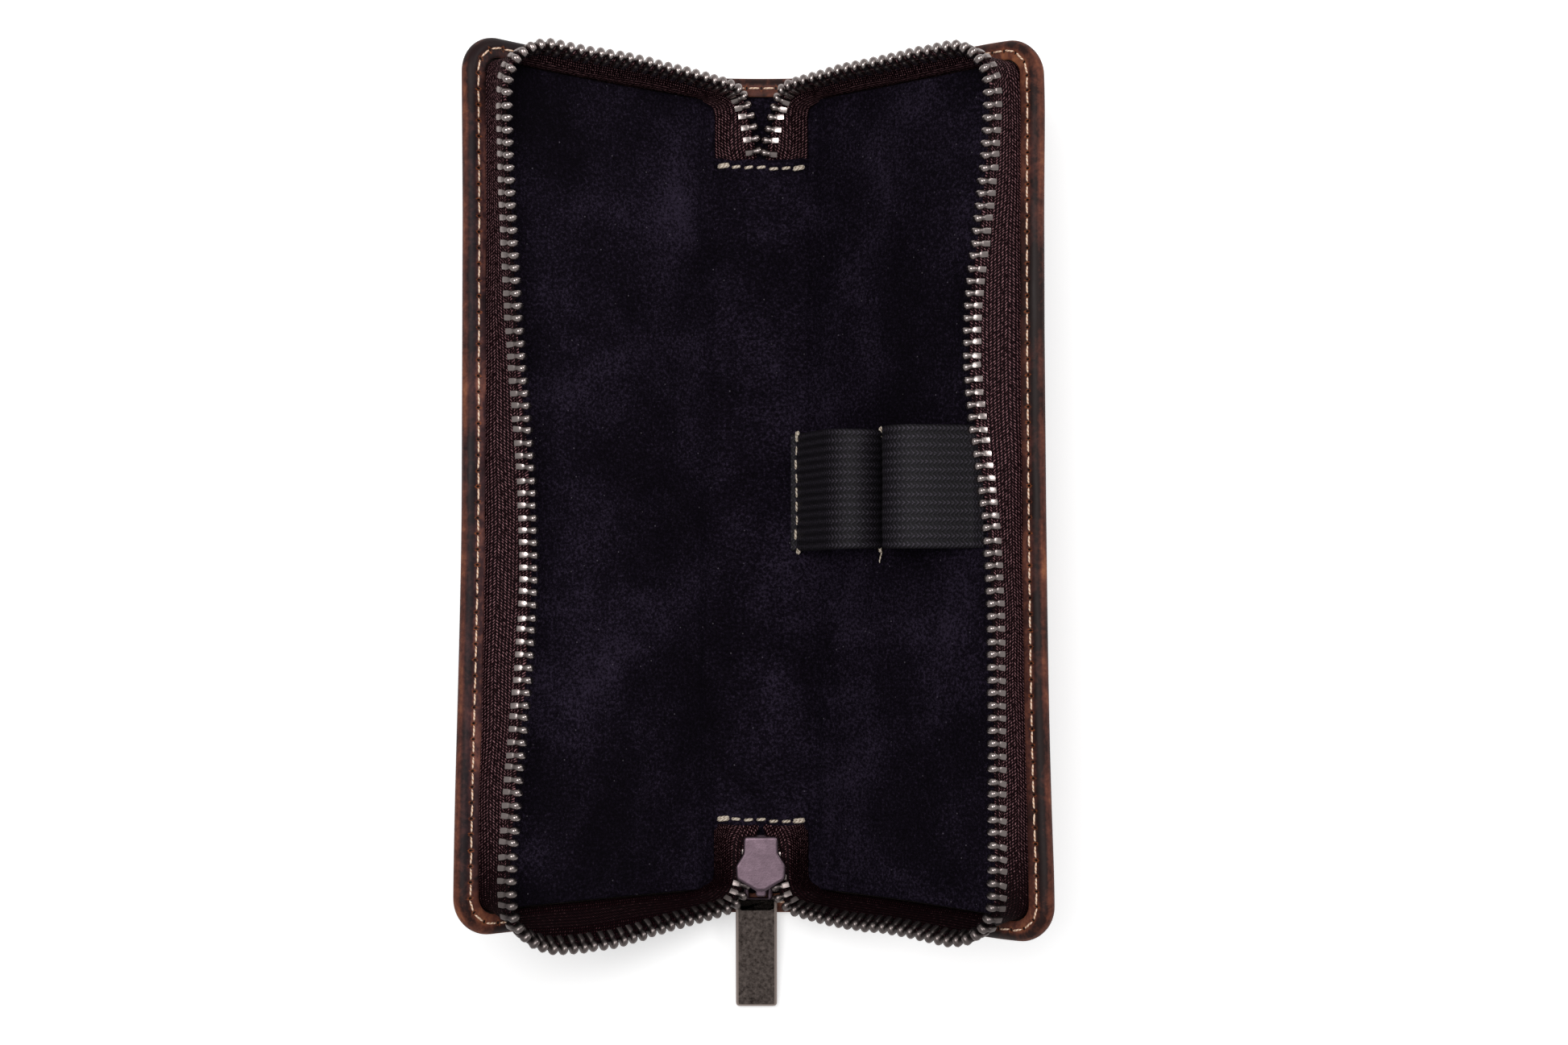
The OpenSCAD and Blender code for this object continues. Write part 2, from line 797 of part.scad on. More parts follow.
// The ring lies from the slider's loop to the tab, whose two ears turn on its outer bar
ring_side = 1.9;
ring_half = tab_width / 2 - ring_side;
module pull_ring() {
    dy = ring_axis_y - tab_axis_y;
    dz = ring_axis_z - tab_axis_z;
    reach = sqrt(dy * dy + dz * dz);
    color("#8d7f80")
        translate([pull_shift, tab_axis_y, tab_axis_z])
            rotate([atan2(dz, dy), 0, 0]) {
                rotate([0, 90, 0])
                    cylinder(h = tab_width - 0.4, d = wire_d, center = true);
                translate([0, reach, 0])
                    rotate([0, 90, 0])
                        cylinder(h = 2 * ring_half, d = wire_d, center = true);
                for (x = [-ring_half, ring_half]) {
                    translate([x, 0, 0])
                        rotate([-90, 0, 0])
                            cylinder(h = reach, d = wire_d);
                    translate([x, reach, 0])
                        sphere(d = wire_d);
                }
            }
}

module pull_tab() {
    ear_w = 1.1;
    ear_d = tab_t + 0.2;
    pin_bore = wire_d + 0.1;
    notch_l = wire_d / 2 + 0.9;
    body_l = tab_length - ear_d / 2;
    color("#7a6a67")
        translate([pull_shift, tab_axis_y, tab_axis_z])
            rotate([tab_droop, 0, 0])
                difference() {
                    union() {
                        translate([-tab_width / 2, -body_l, -tab_t / 2])
                            cube([tab_width, body_l, tab_t]);
                        rotate([0, 90, 0])
                            cylinder(h = tab_width, d = ear_d, center = true);
                    }
                    translate([-tab_width / 2 + ear_w, -notch_l, -tab_t])
                        cube([tab_width - 2 * ear_w, notch_l + ear_d, 2 * tab_t]);
                    rotate([0, 90, 0])
                        cylinder(h = tab_width + 2, d = pin_bore, center = true);
                }
}

spine_leather();
spine_board();
spine_lining();
spine_edge_stitching();
strip_end_stitching();
top_tape_ends();
bottom_tape_ends();
top_end_teeth();
bottom_end_teeth();
cover_leather("left");  // left_leather
cover_board("left");  // left_board
cover_padding("left");  // left_padding
cover_lining("left");  // left_lining
edge_stitching("left");  // left_edge_stitching
cover_tape("left");  // left_tape
cover_teeth("left");  // left_teeth
tape_bends("left");  // left_tape_bends
bend_teeth("left");  // left_bend_teeth
cover_leather("right");  // right_leather
cover_board("right");  // right_board
cover_padding("right");  // right_padding
cover_lining("right");  // right_lining
edge_stitching("right");  // right_edge_stitching
cover_tape("right");  // right_tape
cover_teeth("right");  // right_teeth
tape_bends("right");  // right_tape_bends
bend_teeth("right");  // right_bend_teeth
elastic_foot();
elastic_web();
elastic_loops();
elastic_foot_stitching();
elastic_stitching();
slider_body();
pull_ring();
pull_tab();
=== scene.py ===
import logging
import math
from collections.abc import Callable
from dataclasses import dataclass
from enum import Enum
from functools import partial

import bmesh
import bpy
import numpy as np
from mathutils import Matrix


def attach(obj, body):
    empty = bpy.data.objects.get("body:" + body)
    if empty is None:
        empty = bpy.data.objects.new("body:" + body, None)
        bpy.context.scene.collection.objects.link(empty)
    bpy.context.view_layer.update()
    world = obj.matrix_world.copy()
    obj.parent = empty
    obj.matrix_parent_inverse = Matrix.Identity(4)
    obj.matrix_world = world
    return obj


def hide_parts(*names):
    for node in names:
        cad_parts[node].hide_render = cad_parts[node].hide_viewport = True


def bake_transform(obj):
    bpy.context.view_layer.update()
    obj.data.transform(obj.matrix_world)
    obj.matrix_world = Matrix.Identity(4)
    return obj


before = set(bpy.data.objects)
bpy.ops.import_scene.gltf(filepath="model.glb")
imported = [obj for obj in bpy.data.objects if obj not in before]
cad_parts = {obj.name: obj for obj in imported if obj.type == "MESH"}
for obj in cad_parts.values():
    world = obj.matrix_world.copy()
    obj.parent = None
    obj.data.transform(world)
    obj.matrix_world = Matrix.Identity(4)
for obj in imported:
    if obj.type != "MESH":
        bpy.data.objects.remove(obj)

LOG = logging.getLogger("pen_case")
Array = np.ndarray
Material = bpy.types.Material
Node = bpy.types.Node
AddNode = Callable[..., Node]
Piece = bpy.types.Object
MM = 0.001
FULL_TURN = 2 * math.pi
# The one matrix that leaves a shape where it is.
AS_IT_IS = np.eye(3, 4)[None]
# Painted shade at the slider's end of the case fades out over this stretch of Y, in metres.
PAINTED_SHADE_Y = (-0.088, -0.066)


# ---- Small tools for arrays ----

def unit(a: Array) -> Array:
    """Vectors along the last axis, each divided by its length."""
    return a / np.maximum(np.linalg.norm(a, axis=-1, keepdims=True), 1e-12)


def smooth(t: Array) -> Array:
    """The S-curve 3t^2 - 2t^3, with t held between 0 and 1."""
    t = np.clip(t, 0.0, 1.0)
    return t * t * (3 - 2 * t)


def bell(x: Array, width: float) -> Array:
    """The bell exp(-(x/width)^2)."""
    return np.exp(-((x / width) ** 2))


def together(*parts: Array | float) -> Array:
    """Sets arrays side by side along a new last axis, each repeated to the size of the largest."""
    return np.stack(np.broadcast_arrays(*parts), axis=-1)


def travelled(points: Array) -> Array:
    """Distance along each line of points, one value a point, from 0 at the first."""
    steps = np.linalg.norm(np.diff(points, axis=-2), axis=-1)
    return np.cumsum(np.insert(steps, 0, 0.0, axis=-1), axis=-1)


def read_off(at: Array, along: Array, rows: Array) -> Array:
    """Reads rows of values at other distances, by straight lines from row to row.

    Args:
        at: the distances to read at.
        along: the distance of each row.
        rows: the values, one row a distance.

    Returns:
        One row for each distance in at.
    """
    return together(*(np.interp(at, along, column) for column in rows.T))


def resample(points: Array, step: float) -> Array:
    """Walks an open line of points at even steps.

    Args:
        points: the corners, one row each.
        step: about how far apart the new points lie.

    Returns:
        New points on the same line, its two ends among them.
    """
    along = travelled(points)
    count = max(2, int(round(along[-1] / step)) + 1)
    return read_off(np.linspace(0, along[-1], count), along, points)


def soften(a: Array, sigma: float) -> Array:
    """Runs a bell-shaped average along the first axis, the ends kept where they are.

    Args:
        a: rows of values, one row a step.
        sigma: the bell's width in steps.

    Returns:
        The averaged rows. Beyond each end the rows go on by point reflection, so that the end
        rows stay.
    """
    reach = int(math.ceil(3 * sigma))
    low = 2 * a[:1] - a[reach:0:-1]
    high = 2 * a[-1:] - a[-2:-reach - 2:-1]
    long = np.concatenate([low, a, high])
    weight = np.exp(-0.5 * (np.arange(-reach, reach + 1) / sigma) ** 2)
    weight /= weight.sum()
    return sum(w * long[i:i + len(a)] for i, w in enumerate(weight))


def ripples(x: Array, y: Array, seed: int, shortest: float, longest: float) -> Array:
    """A smooth uneven surface: the sum of 14 plane sine waves in scattered directions, over the
    root of their number.

    Args:
        x: first coordinate in mm.
        y: second coordinate in mm.
        seed: chooses the lengths, directions and phases, always the same ones for the same seed.
        shortest: shortest wavelength in mm.
        longest: longest wavelength in mm.

    Returns:
        Heights, mostly between -1 and 1.
    """
    count = 14
    rng = np.random.default_rng(seed)
    lengths = rng.uniform(shortest, longest, count)
    ways = rng.uniform(0, math.pi, count)
    phases = rng.uniform(0, FULL_TURN, count)
    total = np.zeros(np.broadcast(x, y).shape)
    for length, way, phase in zip(lengths, ways, phases):
        total = total + np.sin(FULL_TURN * (x * math.cos(way) + y * math.sin(way)) / length + phase)
    return total / math.sqrt(count)


def bezier(a: Array, b: Array, c: Array, d: Array, t: Array) -> Array:
    """The cubic curve a(1-t)^3 + 3bt(1-t)^2 + 3ct^2(1-t) + dt^3, one row for each t."""
    t = t[:, None]
    return a * (1 - t) ** 3 + 3 * b * t * (1 - t) ** 2 + 3 * c * t * t * (1 - t) + d * t ** 3


# ---- Meshes ----

class MeshMaker:
    """Gathers grids and repeated shapes, in millimetres, and makes one closed mesh of them."""

    def __init__(self) -> None:
        """Starts empty."""
        self.points: list[Array] = []
        self.uvs: list[Array] = []
        self.rubs: list[Array] = []
        self.faces: list[list[int]] = []
        self.slots: list[int] = []
        self.total = 0

    def add(self, points: Array, faces: list[list[int]], uv: Array | None, slot: int,
            wear_and_highlight: Array | float) -> None:
        """Adds points with their faces.

        Args:
            points: the points, in an array of any shape that ends in 3.
            faces: the faces, whose numbers count from the first of these points.
            uv: a pair in metres for each point, or nothing.
            slot: which finish the faces have.
            wear_and_highlight: how much each point is worn or rubbed bright, or one number for all; on the
                metal it also paints highlight and shade.
        """
        points = points.reshape(-1, 3)
        uv = np.zeros((1, 2)) if uv is None else uv.reshape(-1, 2)
        self.points.append(points)
        self.uvs.append(np.broadcast_to(uv, (len(points), 2)))
        self.rubs.append(np.broadcast_to(np.asarray(wear_and_highlight, float).ravel(), (len(points),)))
        self.faces += [[i + self.total for i in face] for face in faces]
        self.slots += [slot] * len(faces)
        self.total += len(points)

    def grid(self, points: Array, uv: Array | None = None, slot: int = 0, wear_and_highlight: Array | float = 0.0) -> None:
        """Adds a surface worked out on a grid: point (i, j) joins (i+1, j), (i+1, j+1) and (i, j+1).

        Args:
            points: array of n by m points.
            uv: array of n by m pairs in metres, or nothing.
            slot: which finish the surface has.
            wear_and_highlight: how much each point is rubbed, as an array of n by m or one number.
        """
        n, m = points.shape[:2]
        ids = np.arange(n * m).reshape(n, m)
        quads = np.stack([ids[:-1, :-1], ids[1:, :-1], ids[1:, 1:], ids[:-1, 1:]], axis=-1)
        self.add(points, quads.reshape(-1, 4).tolist(), uv, slot, wear_and_highlight)

    def copies(self, shape: "MeshMaker", places: Array = AS_IT_IS) -> None:
        """Adds a shape once for each 3 by 4 matrix M: a point p goes to M[:, :3] p + M[:, 3].

        Args:
            shape: the shape to repeat.
            places: array of k matrices of 3 rows and 4 columns.
        """
        base = np.concatenate(shape.points)
        copied = np.einsum("kij,vj->kvi", places[:, :, :3], base) + places[:, None, :, 3]
        self.points.append(copied.reshape(-1, 3))
        self.uvs.append(np.tile(np.concatenate(shape.uvs), (len(places), 1)))
        self.rubs.append(np.tile(np.concatenate(shape.rubs), len(places)))
        for start in range(self.total, self.total + len(places) * len(base), len(base)):
            self.faces += [[i + start for i in face] for face in shape.faces]
            self.slots += shape.slots
        self.total += len(places) * len(base)

    def piece(self, name: str, finishes: list[Material], sharp: float = 40.0) -> Piece:
        """Makes the object: joins points that fall together, fills what is open, turns faces outwards.

        Args:
            name: the object's name.
            finishes: one material for each slot number.
            sharp: faces that meet at more than this many degrees show an edge.

        Returns:
            The object, at the origin, with its place in its mesh.
        """
        mesh = bpy.data.meshes.new(name)
        mesh.from_pydata((np.concatenate(self.points) * MM).tolist(), [], self.faces)
        mesh.polygons.foreach_set("material_index", self.slots)
        corner = np.empty(len(mesh.loops), np.int32)
        mesh.loops.foreach_get("vertex_index", corner)
        uv = np.concatenate(self.uvs)[corner]
        mesh.uv_layers.new(name="surface").uv.foreach_set("vector", uv.astype(np.float32).ravel())
        wear_and_highlight = mesh.attributes.new("wear_and_highlight", "FLOAT", "POINT")
        wear_and_highlight.data.foreach_set("value", np.concatenate(self.rubs).astype(np.float32))
        work = bmesh.new()
        work.from_mesh(mesh)
        bmesh.ops.remove_doubles(work, verts=work.verts, dist=2e-6)
        bmesh.ops.holes_fill(work, edges=[e for e in work.edges if e.is_boundary], sides=0)
        bmesh.ops.recalc_face_normals(work, faces=work.faces)
        work.to_mesh(mesh)
        work.free()
        mesh.polygons.foreach_set("use_smooth", [True] * len(mesh.polygons))
        mesh.set_sharp_from_angle(angle=math.radians(sharp))
        for finish in finishes:
            mesh.materials.append(finish)
        LOG.info("%s: %d faces", name, len(mesh.polygons))
        return linked(name, mesh)


def linked(name: str, data: bpy.types.ID) -> Piece:
    """Makes an object of a mesh, a lamp or a camera, and puts it in the scene.

    Args:
        name: the object's name.
        data: what the object shows.

    Returns:
        The object, at the origin.
    """
    made = bpy.data.objects.new(name, data)
    bpy.context.scene.collection.objects.link(made)
    return made


def lofted(sections: Array, uv: Array | None = None, wear_and_highlight: Array | float = 0.0) -> MeshMaker:
    """A closed body through rings of points: rings joined in order, the two end rings filled.

    Args:
        sections: array of n rings of m points.
        uv: array of n by m pairs, or nothing.
        wear_and_highlight: how much each point is rubbed, as an array of n by m or one number.

    Returns:
        The shape, ready to be made a piece or repeated.
    """
    n, m = sections.shape[:2]
    ids = np.arange(n * m).reshape(n, m)
    right = np.roll(ids, -1, axis=1)
    quads = np.stack([ids[:-1], ids[1:], right[1:], right[:-1]], axis=-1).reshape(-1, 4).tolist()
    caps = [ids[0, ::-1].tolist(), ids[-1].tolist()]
    made = MeshMaker()
    made.add(sections, quads + caps, uv, 0, wear_and_highlight)
    return made


def offset_outline(points: Array, inset: float) -> Array:
    """Moves a closed outline inwards: each point goes along the mean of its two edges' normals,
    by inset over the cosine of half the turn.

    Args:
        points: outline in the plane, anticlockwise.
        inset: how far inwards in mm.

    Returns:
        The moved outline.
    """
    edge = unit(np.roll(points, -1, axis=0) - points)
    normal = together(-edge[:, 1], edge[:, 0])
    before = np.roll(normal, 1, axis=0)
    spread = np.maximum(1 + np.sum(normal * before, axis=1, keepdims=True), 0.5)
    return points + inset * (normal + before) / spread


def rounded_outline(corners: list[tuple[float, float, float]], steps: int = 4) -> Array:
    """A closed outline with round corners: at each corner a quadratic curve through the two points
    where an arc would touch its edges, which comes within a few hundredths of that arc.

    Args:
        corners: anticlockwise (x, y, radius) in mm.
        steps: points on each corner less one.

    Returns:
        Outline points.
    """
    at = np.array([c[:2] for c in corners])
    t = np.linspace(0, 1, steps + 1)[:, None]
    out = []
    for p, before, after, (_, _, radius) in zip(at, np.roll(at, 1, axis=0), np.roll(at, -1, axis=0), corners):
        a, b = unit(before - p), unit(after - p)
        reach = radius / math.tan(math.acos(float(np.clip(a @ b, -1, 1))) / 2)
        out.append((p + a * reach) * (1 - t) ** 2 + 2 * p * t * (1 - t) + (p + b * reach) * t * t)
    return np.concatenate(out)


def oblong(x0: float, x1: float, y0: float, y1: float, radii: tuple[float, float]) -> Array:
    """The outline of a rectangle with round corners.

    Args:
        x0: left edge in mm.
        x1: right edge.
        y0: near edge.
        y1: far edge.
        radii: radius of the two near corners and of the two far ones.

    Returns:
        Outline points, anticlockwise.
    """
    near, far = radii
    return rounded_outline([(x0, y0, near), (x1, y0, near), (x1, y1, far), (x0, y1, far)])


def plate(outline: Array, levels: list[tuple[float, float]], wear_and_highlight: list[float] | None = None,
          hub: bool = False) -> MeshMaker:
    """A flat body with worked edges: the outline, moved inwards by each level's inset at its height.

    Args:
        outline: anticlockwise outline in mm.
        levels: (height, inset) from the underside to the top.
        wear_and_highlight: how much each level is rubbed, with one more value for each face, or nothing; on
            the tab the bright bevels are also painted highlight.
        hub: whether each face is drawn in to its middle, which a waisted outline needs.

    Returns:
        The shape, lying in the XY plane.
    """
    low, high = levels[0], levels[-1]
    levels = [(low[0], low[1] + 0.1), *levels, (high[0], high[1] + 0.1)]
    rings = [together(*offset_outline(outline, inset).T, z) for z, inset in levels]
    shine = np.zeros(len(levels)) if wear_and_highlight is None else np.array(wear_and_highlight)
    if hub:
        middle = outline.mean(axis=0)
        drawn_in = [together(*(middle + (ring[:, :2] - middle) * 0.05).T, ring[0, 2])
                    for ring in (rings[0], rings[-1])]
        rings = [drawn_in[0], *rings, drawn_in[1]]
        shine = np.concatenate([shine[:1], shine, shine[-1:]])
    return lofted(np.array(rings), wear_and_highlight=np.repeat(shine, len(outline)))


def tube(path: Array, radius: float, sides: int = 12) -> MeshMaker:
    """A round wire: a circle carried along a path, square to it, its ends closed.

    Args:
        path: points in mm, on a path that never runs along Z.
        radius: radius in mm.
        sides: points round the wire.

    Returns:
        The shape.
    """
    ahead = unit(np.gradient(path, axis=0))
    out = unit(np.cross(ahead, [0.0, 0.0, 1.0]))
    up = np.cross(out, ahead)
    a = np.linspace(0, FULL_TURN, sides, endpoint=False)[:, None]
    return lofted(path[:, None] + radius * (out[:, None] * np.cos(a) + up[:, None] * np.sin(a)))


def tipped(degrees: float, shift: list[float]) -> Array:
    """The one matrix, for MeshMaker.copies, that turns a shape about X and then shifts it."""
    c, s = math.cos(math.radians(degrees)), math.sin(math.radians(degrees))
    return np.column_stack([[[1, 0, 0], [0, c, -s], [0, s, c]], shift])[None]


# ---- Finishes ----

def linear(hex_colour: str) -> tuple[float, float, float, float]:
    """Turns an sRGB hex colour into the linear values that a shader takes.

    Args:
        hex_colour: six hex digits.

    Returns:
        Red, green, blue and an alpha of 1.
    """
    parts = [int(hex_colour[i:i + 2], 16) / 255 for i in (0, 2, 4)]
    return tuple(c / 12.92 if c <= 0.04045 else ((c + 0.055) / 1.055) ** 2.4 for c in parts) + (1.0,)


def node(tree: bpy.types.NodeTree, kind: str, inputs: dict | list | None = None, **settings: object) -> Node:
    """Adds one shader node, with its plain values, its links and its settings.

    Args:
        tree: the node tree.
        kind: the node's type without the ShaderNode in front.
        inputs: what the sockets get, as a list in their order or by socket name or number: a value,
            an output socket to link from, or a node for its first output.
        settings: the node's own properties; "stops" are a ramp's (place, colour) pairs.

    Returns:
        The node.
    """
    made = tree.nodes.new("ShaderNode" + kind)
    for _ in range(2, len(settings.get("stops", ()))):
        made.color_ramp.elements.new(0.5)
    for key, value in settings.items():
        if key == "stops":
            for element, (place, colour) in zip(made.color_ramp.elements, value):
                element.position = place
                element.color = linear(colour)
        else:
            setattr(made, key, value)
    for key, value in (inputs if isinstance(inputs, dict) else dict(enumerate(inputs or []))).items():
        if isinstance(value, Node):
            value = value.outputs[0]
        if isinstance(value, bpy.types.NodeSocket):
            tree.links.new(value, made.inputs[key])
        else:
            made.inputs[key].default_value = value
    return made


class Finish:
    """A material: how its nodes are made is in each finish's own dress method."""

    title: str

    def material(self) -> Material:
        """Makes the material and wires its surface to the output.

        Returns:
            The material, ready for a mesh.
        """
        made = bpy.data.materials.new(self.title)
        made.use_nodes = True
        made.node_tree.nodes.clear()
        surface = self.dress(partial(node, made.node_tree))
        node(made.node_tree, "OutputMaterial", {"Surface": surface})
        return made

    def dress(self, add: AddNode) -> Node:
        """Adds the nodes with add, and returns the surface shader."""
        raise NotImplementedError


@dataclass(frozen=True)
class PullUpLeather(Finish):
    """Oiled, waxed cow leather: blue-brown and matt, paler where it was pulled, redder where rubbed.

    Lengths are in metres: the stitches' pitch, their row's place across the map, how far a torn
    hole and its fibres reach, and the stretches over which the folded edge's dark band comes and goes.
    """

    title: str = "leather pull-up waxed"
    deep: str = "1b1216"
    middle: str = "42282a"
    pale: str = "8c584b"
    bare_deep: str = "260f0b"
    bare_middle: str = "6a3a2b"
    bare_pale: str = "a86a46"
    crack: str = "94522f"
    # Painted shade inside each stitch hole.
    hole: str = "120a08"
    pitch: float = 0.00315
    seam_at: float = 0.0024
    hole_reach: tuple[float, float] = (0.00018, 0.0003)
    torn_reach: tuple[float, float] = (0.0002, 0.0011)
    band_from: tuple[float, float] = (-0.0004, 0.0004)
    band_to: tuple[float, float] = (0.0012, 0.0022)

    def dress(self, add: AddNode) -> Node:
        """Cloudy wax patches of 10 to 30 mm, a fine grain of 0.6 mm, a dark band along the folded edge,
        red-brown wear where the piece's own "rub" says, and pricked stitch holes, each a spot of painted
        shade, with the raw brown fibre torn open across the seam, placed by the surface's own map along the
        edge.

        Args:
            add: adds a node to this finish's own tree.

        Returns:
            The surface shader.
        """
        at = add("TexCoord")
        place = at.outputs["Object"]
        worn = add("Attribute", attribute_name="wear_and_highlight").outputs["Fac"]
        clouds = add("TexNoise", {"Vector": place, "Scale": 38.0, "Detail": 7.0, "Roughness": 0.66,
                                  "Distortion": 0.4})
        drawn = add("Mapping", {"Vector": place, "Scale": (1.0, 0.16, 1.0)})
        streaks = add("TexNoise", {"Vector": drawn, "Scale": 420.0, "Detail": 5.0, "Roughness": 0.7})
        specks = add("TexNoise", {"Vector": place, "Scale": 1300.0, "Detail": 3.0})
        scuffs = add("TexNoise", {"Vector": place, "Scale": 170.0, "Detail": 8.0, "Roughness": 0.72,
                                  "Distortion": 0.8})
        parts = add("SeparateXYZ", [at.outputs["UV"]])
        along, across = parts.outputs[0], parts.outputs[1]
        begun = add("MapRange", [across, *self.band_from], interpolation_type="SMOOTHSTEP")
        ended = add("MapRange", [across, *self.band_to, 1.0, 0.0], interpolation_type="SMOOTHSTEP")
        band = add("Math", [begun, ended], operation="MULTIPLY")
        tone = add("Math", [clouds, 0.5], operation="MULTIPLY")
        for part, weight in ((streaks, 0.25), (scuffs, 0.36), (specks, 0.12), (band, -0.1)):
            tone = add("Math", [part, weight, tone], operation="MULTIPLY_ADD")
        waxed = add("ValToRGB", [tone], stops=[(0.5, self.deep), (0.61, self.middle), (0.74, self.pale)])
        bare = add("ValToRGB", [tone],
                   stops=[(0.51, self.bare_deep), (0.63, self.bare_middle), (0.78, self.bare_pale)])
        patches = add("MapRange", [clouds, 0.36, 0.56, 0.4, 1.0])
        warm = add("Math", [worn, patches], operation="MULTIPLY", use_clamp=True)
        base = add("Mix", {0: warm, 6: waxed, 7: bare}, data_type="RGBA").outputs[2]
        count = add("Math", [along, self.pitch], operation="DIVIDE")
        fold = add("Math", [count, 0.5], operation="PINGPONG")
        near = add("Math", [fold, self.pitch], operation="MULTIPLY")
        away = add("Math", [across, self.seam_at], operation="SUBTRACT")
        flat = add("Math", [away, 0.6], operation="MULTIPLY")
        offset = add("CombineXYZ", [near, flat])
        reach = add("VectorMath", [offset], operation="LENGTH").outputs["Value"]
        fibres_at = add("Mapping", {"Vector": at.outputs["UV"], "Scale": (2300.0, 620.0, 1.0)})
        fibres = add("TexNoise", {"Vector": fibres_at, "Scale": 1.0, "Detail": 3.0, "Roughness": 0.6,
                                  "Distortion": 1.6})
        fade = add("MapRange", [reach, *self.torn_reach, 1.0, 0.0])
        split = add("MapRange", [add("Math", [fade, fibres], operation="MULTIPLY"), 0.36, 0.55])
        torn = add("Mix", {0: split, 6: base, 7: linear(self.crack)}, data_type="RGBA").outputs[2]
        # Painted shade: a dark spot in each stitch hole.
        hole = add("MapRange", [reach, *self.hole_reach, 1.0, 0.0])
        colour = add("Mix", {0: hole, 6: torn, 7: linear(self.hole)}, data_type="RGBA").outputs[2]
        rough = add("MapRange", [clouds, 0.3, 0.7, 0.5, 0.68])
        grain = add("TexVoronoi", {"Vector": place, "Scale": 900.0}, feature="SMOOTH_F1")
        drawn_out = add("Math", [streaks, 0.7], operation="MULTIPLY")
        relief = add("Math", [grain, 0.5, drawn_out], operation="MULTIPLY_ADD")
        relief = add("Math", [relief, add("Math", [split, 0.8], operation="MULTIPLY")], operation="SUBTRACT")
        bump = add("Bump", {"Strength": 0.3, "Distance": 0.0002, "Height": relief})
        return add("BsdfPrincipled", {"Base Color": colour, "Roughness": rough, "Normal": bump,
                                      "Specular IOR Level": 0.22})


@dataclass(frozen=True)
class CutEdge(Finish):
    """Raw cut edge of vegetable-dyed leather: orange-brown fibre with no finish on it."""

    title: str = "leather cut edge"
    dark: str = "7d4a2a"
    light: str = "c08450"

    def dress(self, add: AddNode) -> Node:
        """A short fibre of 0.5 mm in two browns, quite matt.

        Args:
            add: adds a node to this finish's own tree.

        Returns:
            The surface shader.
        """
        at = add("TexCoord").outputs["Object"]
        fibre = add("TexNoise", {"Vector": at, "Scale": 1800.0, "Detail": 3.0})
        base = add("ValToRGB", [fibre], stops=[(0.35, self.dark), (0.65, self.light)])
        bump = add("Bump", {"Strength": 0.4, "Distance": 0.0001, "Height": fibre})
        return add("BsdfPrincipled", {"Base Color": base, "Roughness": 0.85, "Normal": bump})


@dataclass(frozen=True)
class Suede(Finish):
    """Sueded lining, dyed a near-black aubergine: a short nap that drinks light and shows strokes."""

    title: str = "suede lining"
    deep: str = "050207"
    middle: str = "110b16"
    pale: str = "2f2737"
    lint: str = "8d8592"
    sheen: str = "5c5070"

    def dress(self, add: AddNode) -> Node:
        """Strokes of about 20 mm in the nap, a nap of 0.6 mm, and a few specks of pale lint.

        Args:
            add: adds a node to this finish's own tree.

        Returns:
            The surface shader.
        """
        at = add("TexCoord").outputs["Object"]
        strokes = add("TexNoise", {"Vector": at, "Scale": 45.0, "Detail": 4.0, "Roughness": 0.55,
                                   "Distortion": 0.3})
        nap = add("TexNoise", {"Vector": at, "Scale": 1700.0, "Detail": 4.0, "Roughness": 0.8})
        stroked = add("Math", [strokes, 0.32], operation="MULTIPLY")
        tone = add("Math", [nap, 0.68, stroked], operation="MULTIPLY_ADD")
        base = add("ValToRGB", [tone], stops=[(0.42, self.deep), (0.52, self.middle), (0.62, self.pale)])
        cells = add("TexVoronoi", {"Vector": at, "Scale": 330.0})
        specks = add("MapRange", [cells, 0.02, 0.065, 0.4, 0.0])
        colour = add("Mix", {0: specks, 6: base, 7: linear(self.lint)}, data_type="RGBA").outputs[2]
        bump = add("Bump", {"Strength": 0.5, "Distance": 0.00025, "Height": nap})
        return add("BsdfPrincipled", {"Base Color": colour, "Roughness": 0.92, "Normal": bump,
                                      "Specular IOR Level": 0.08, "Sheen Weight": 0.05,
                                      "Sheen Roughness": 0.5, "Sheen Tint": linear(self.sheen)})


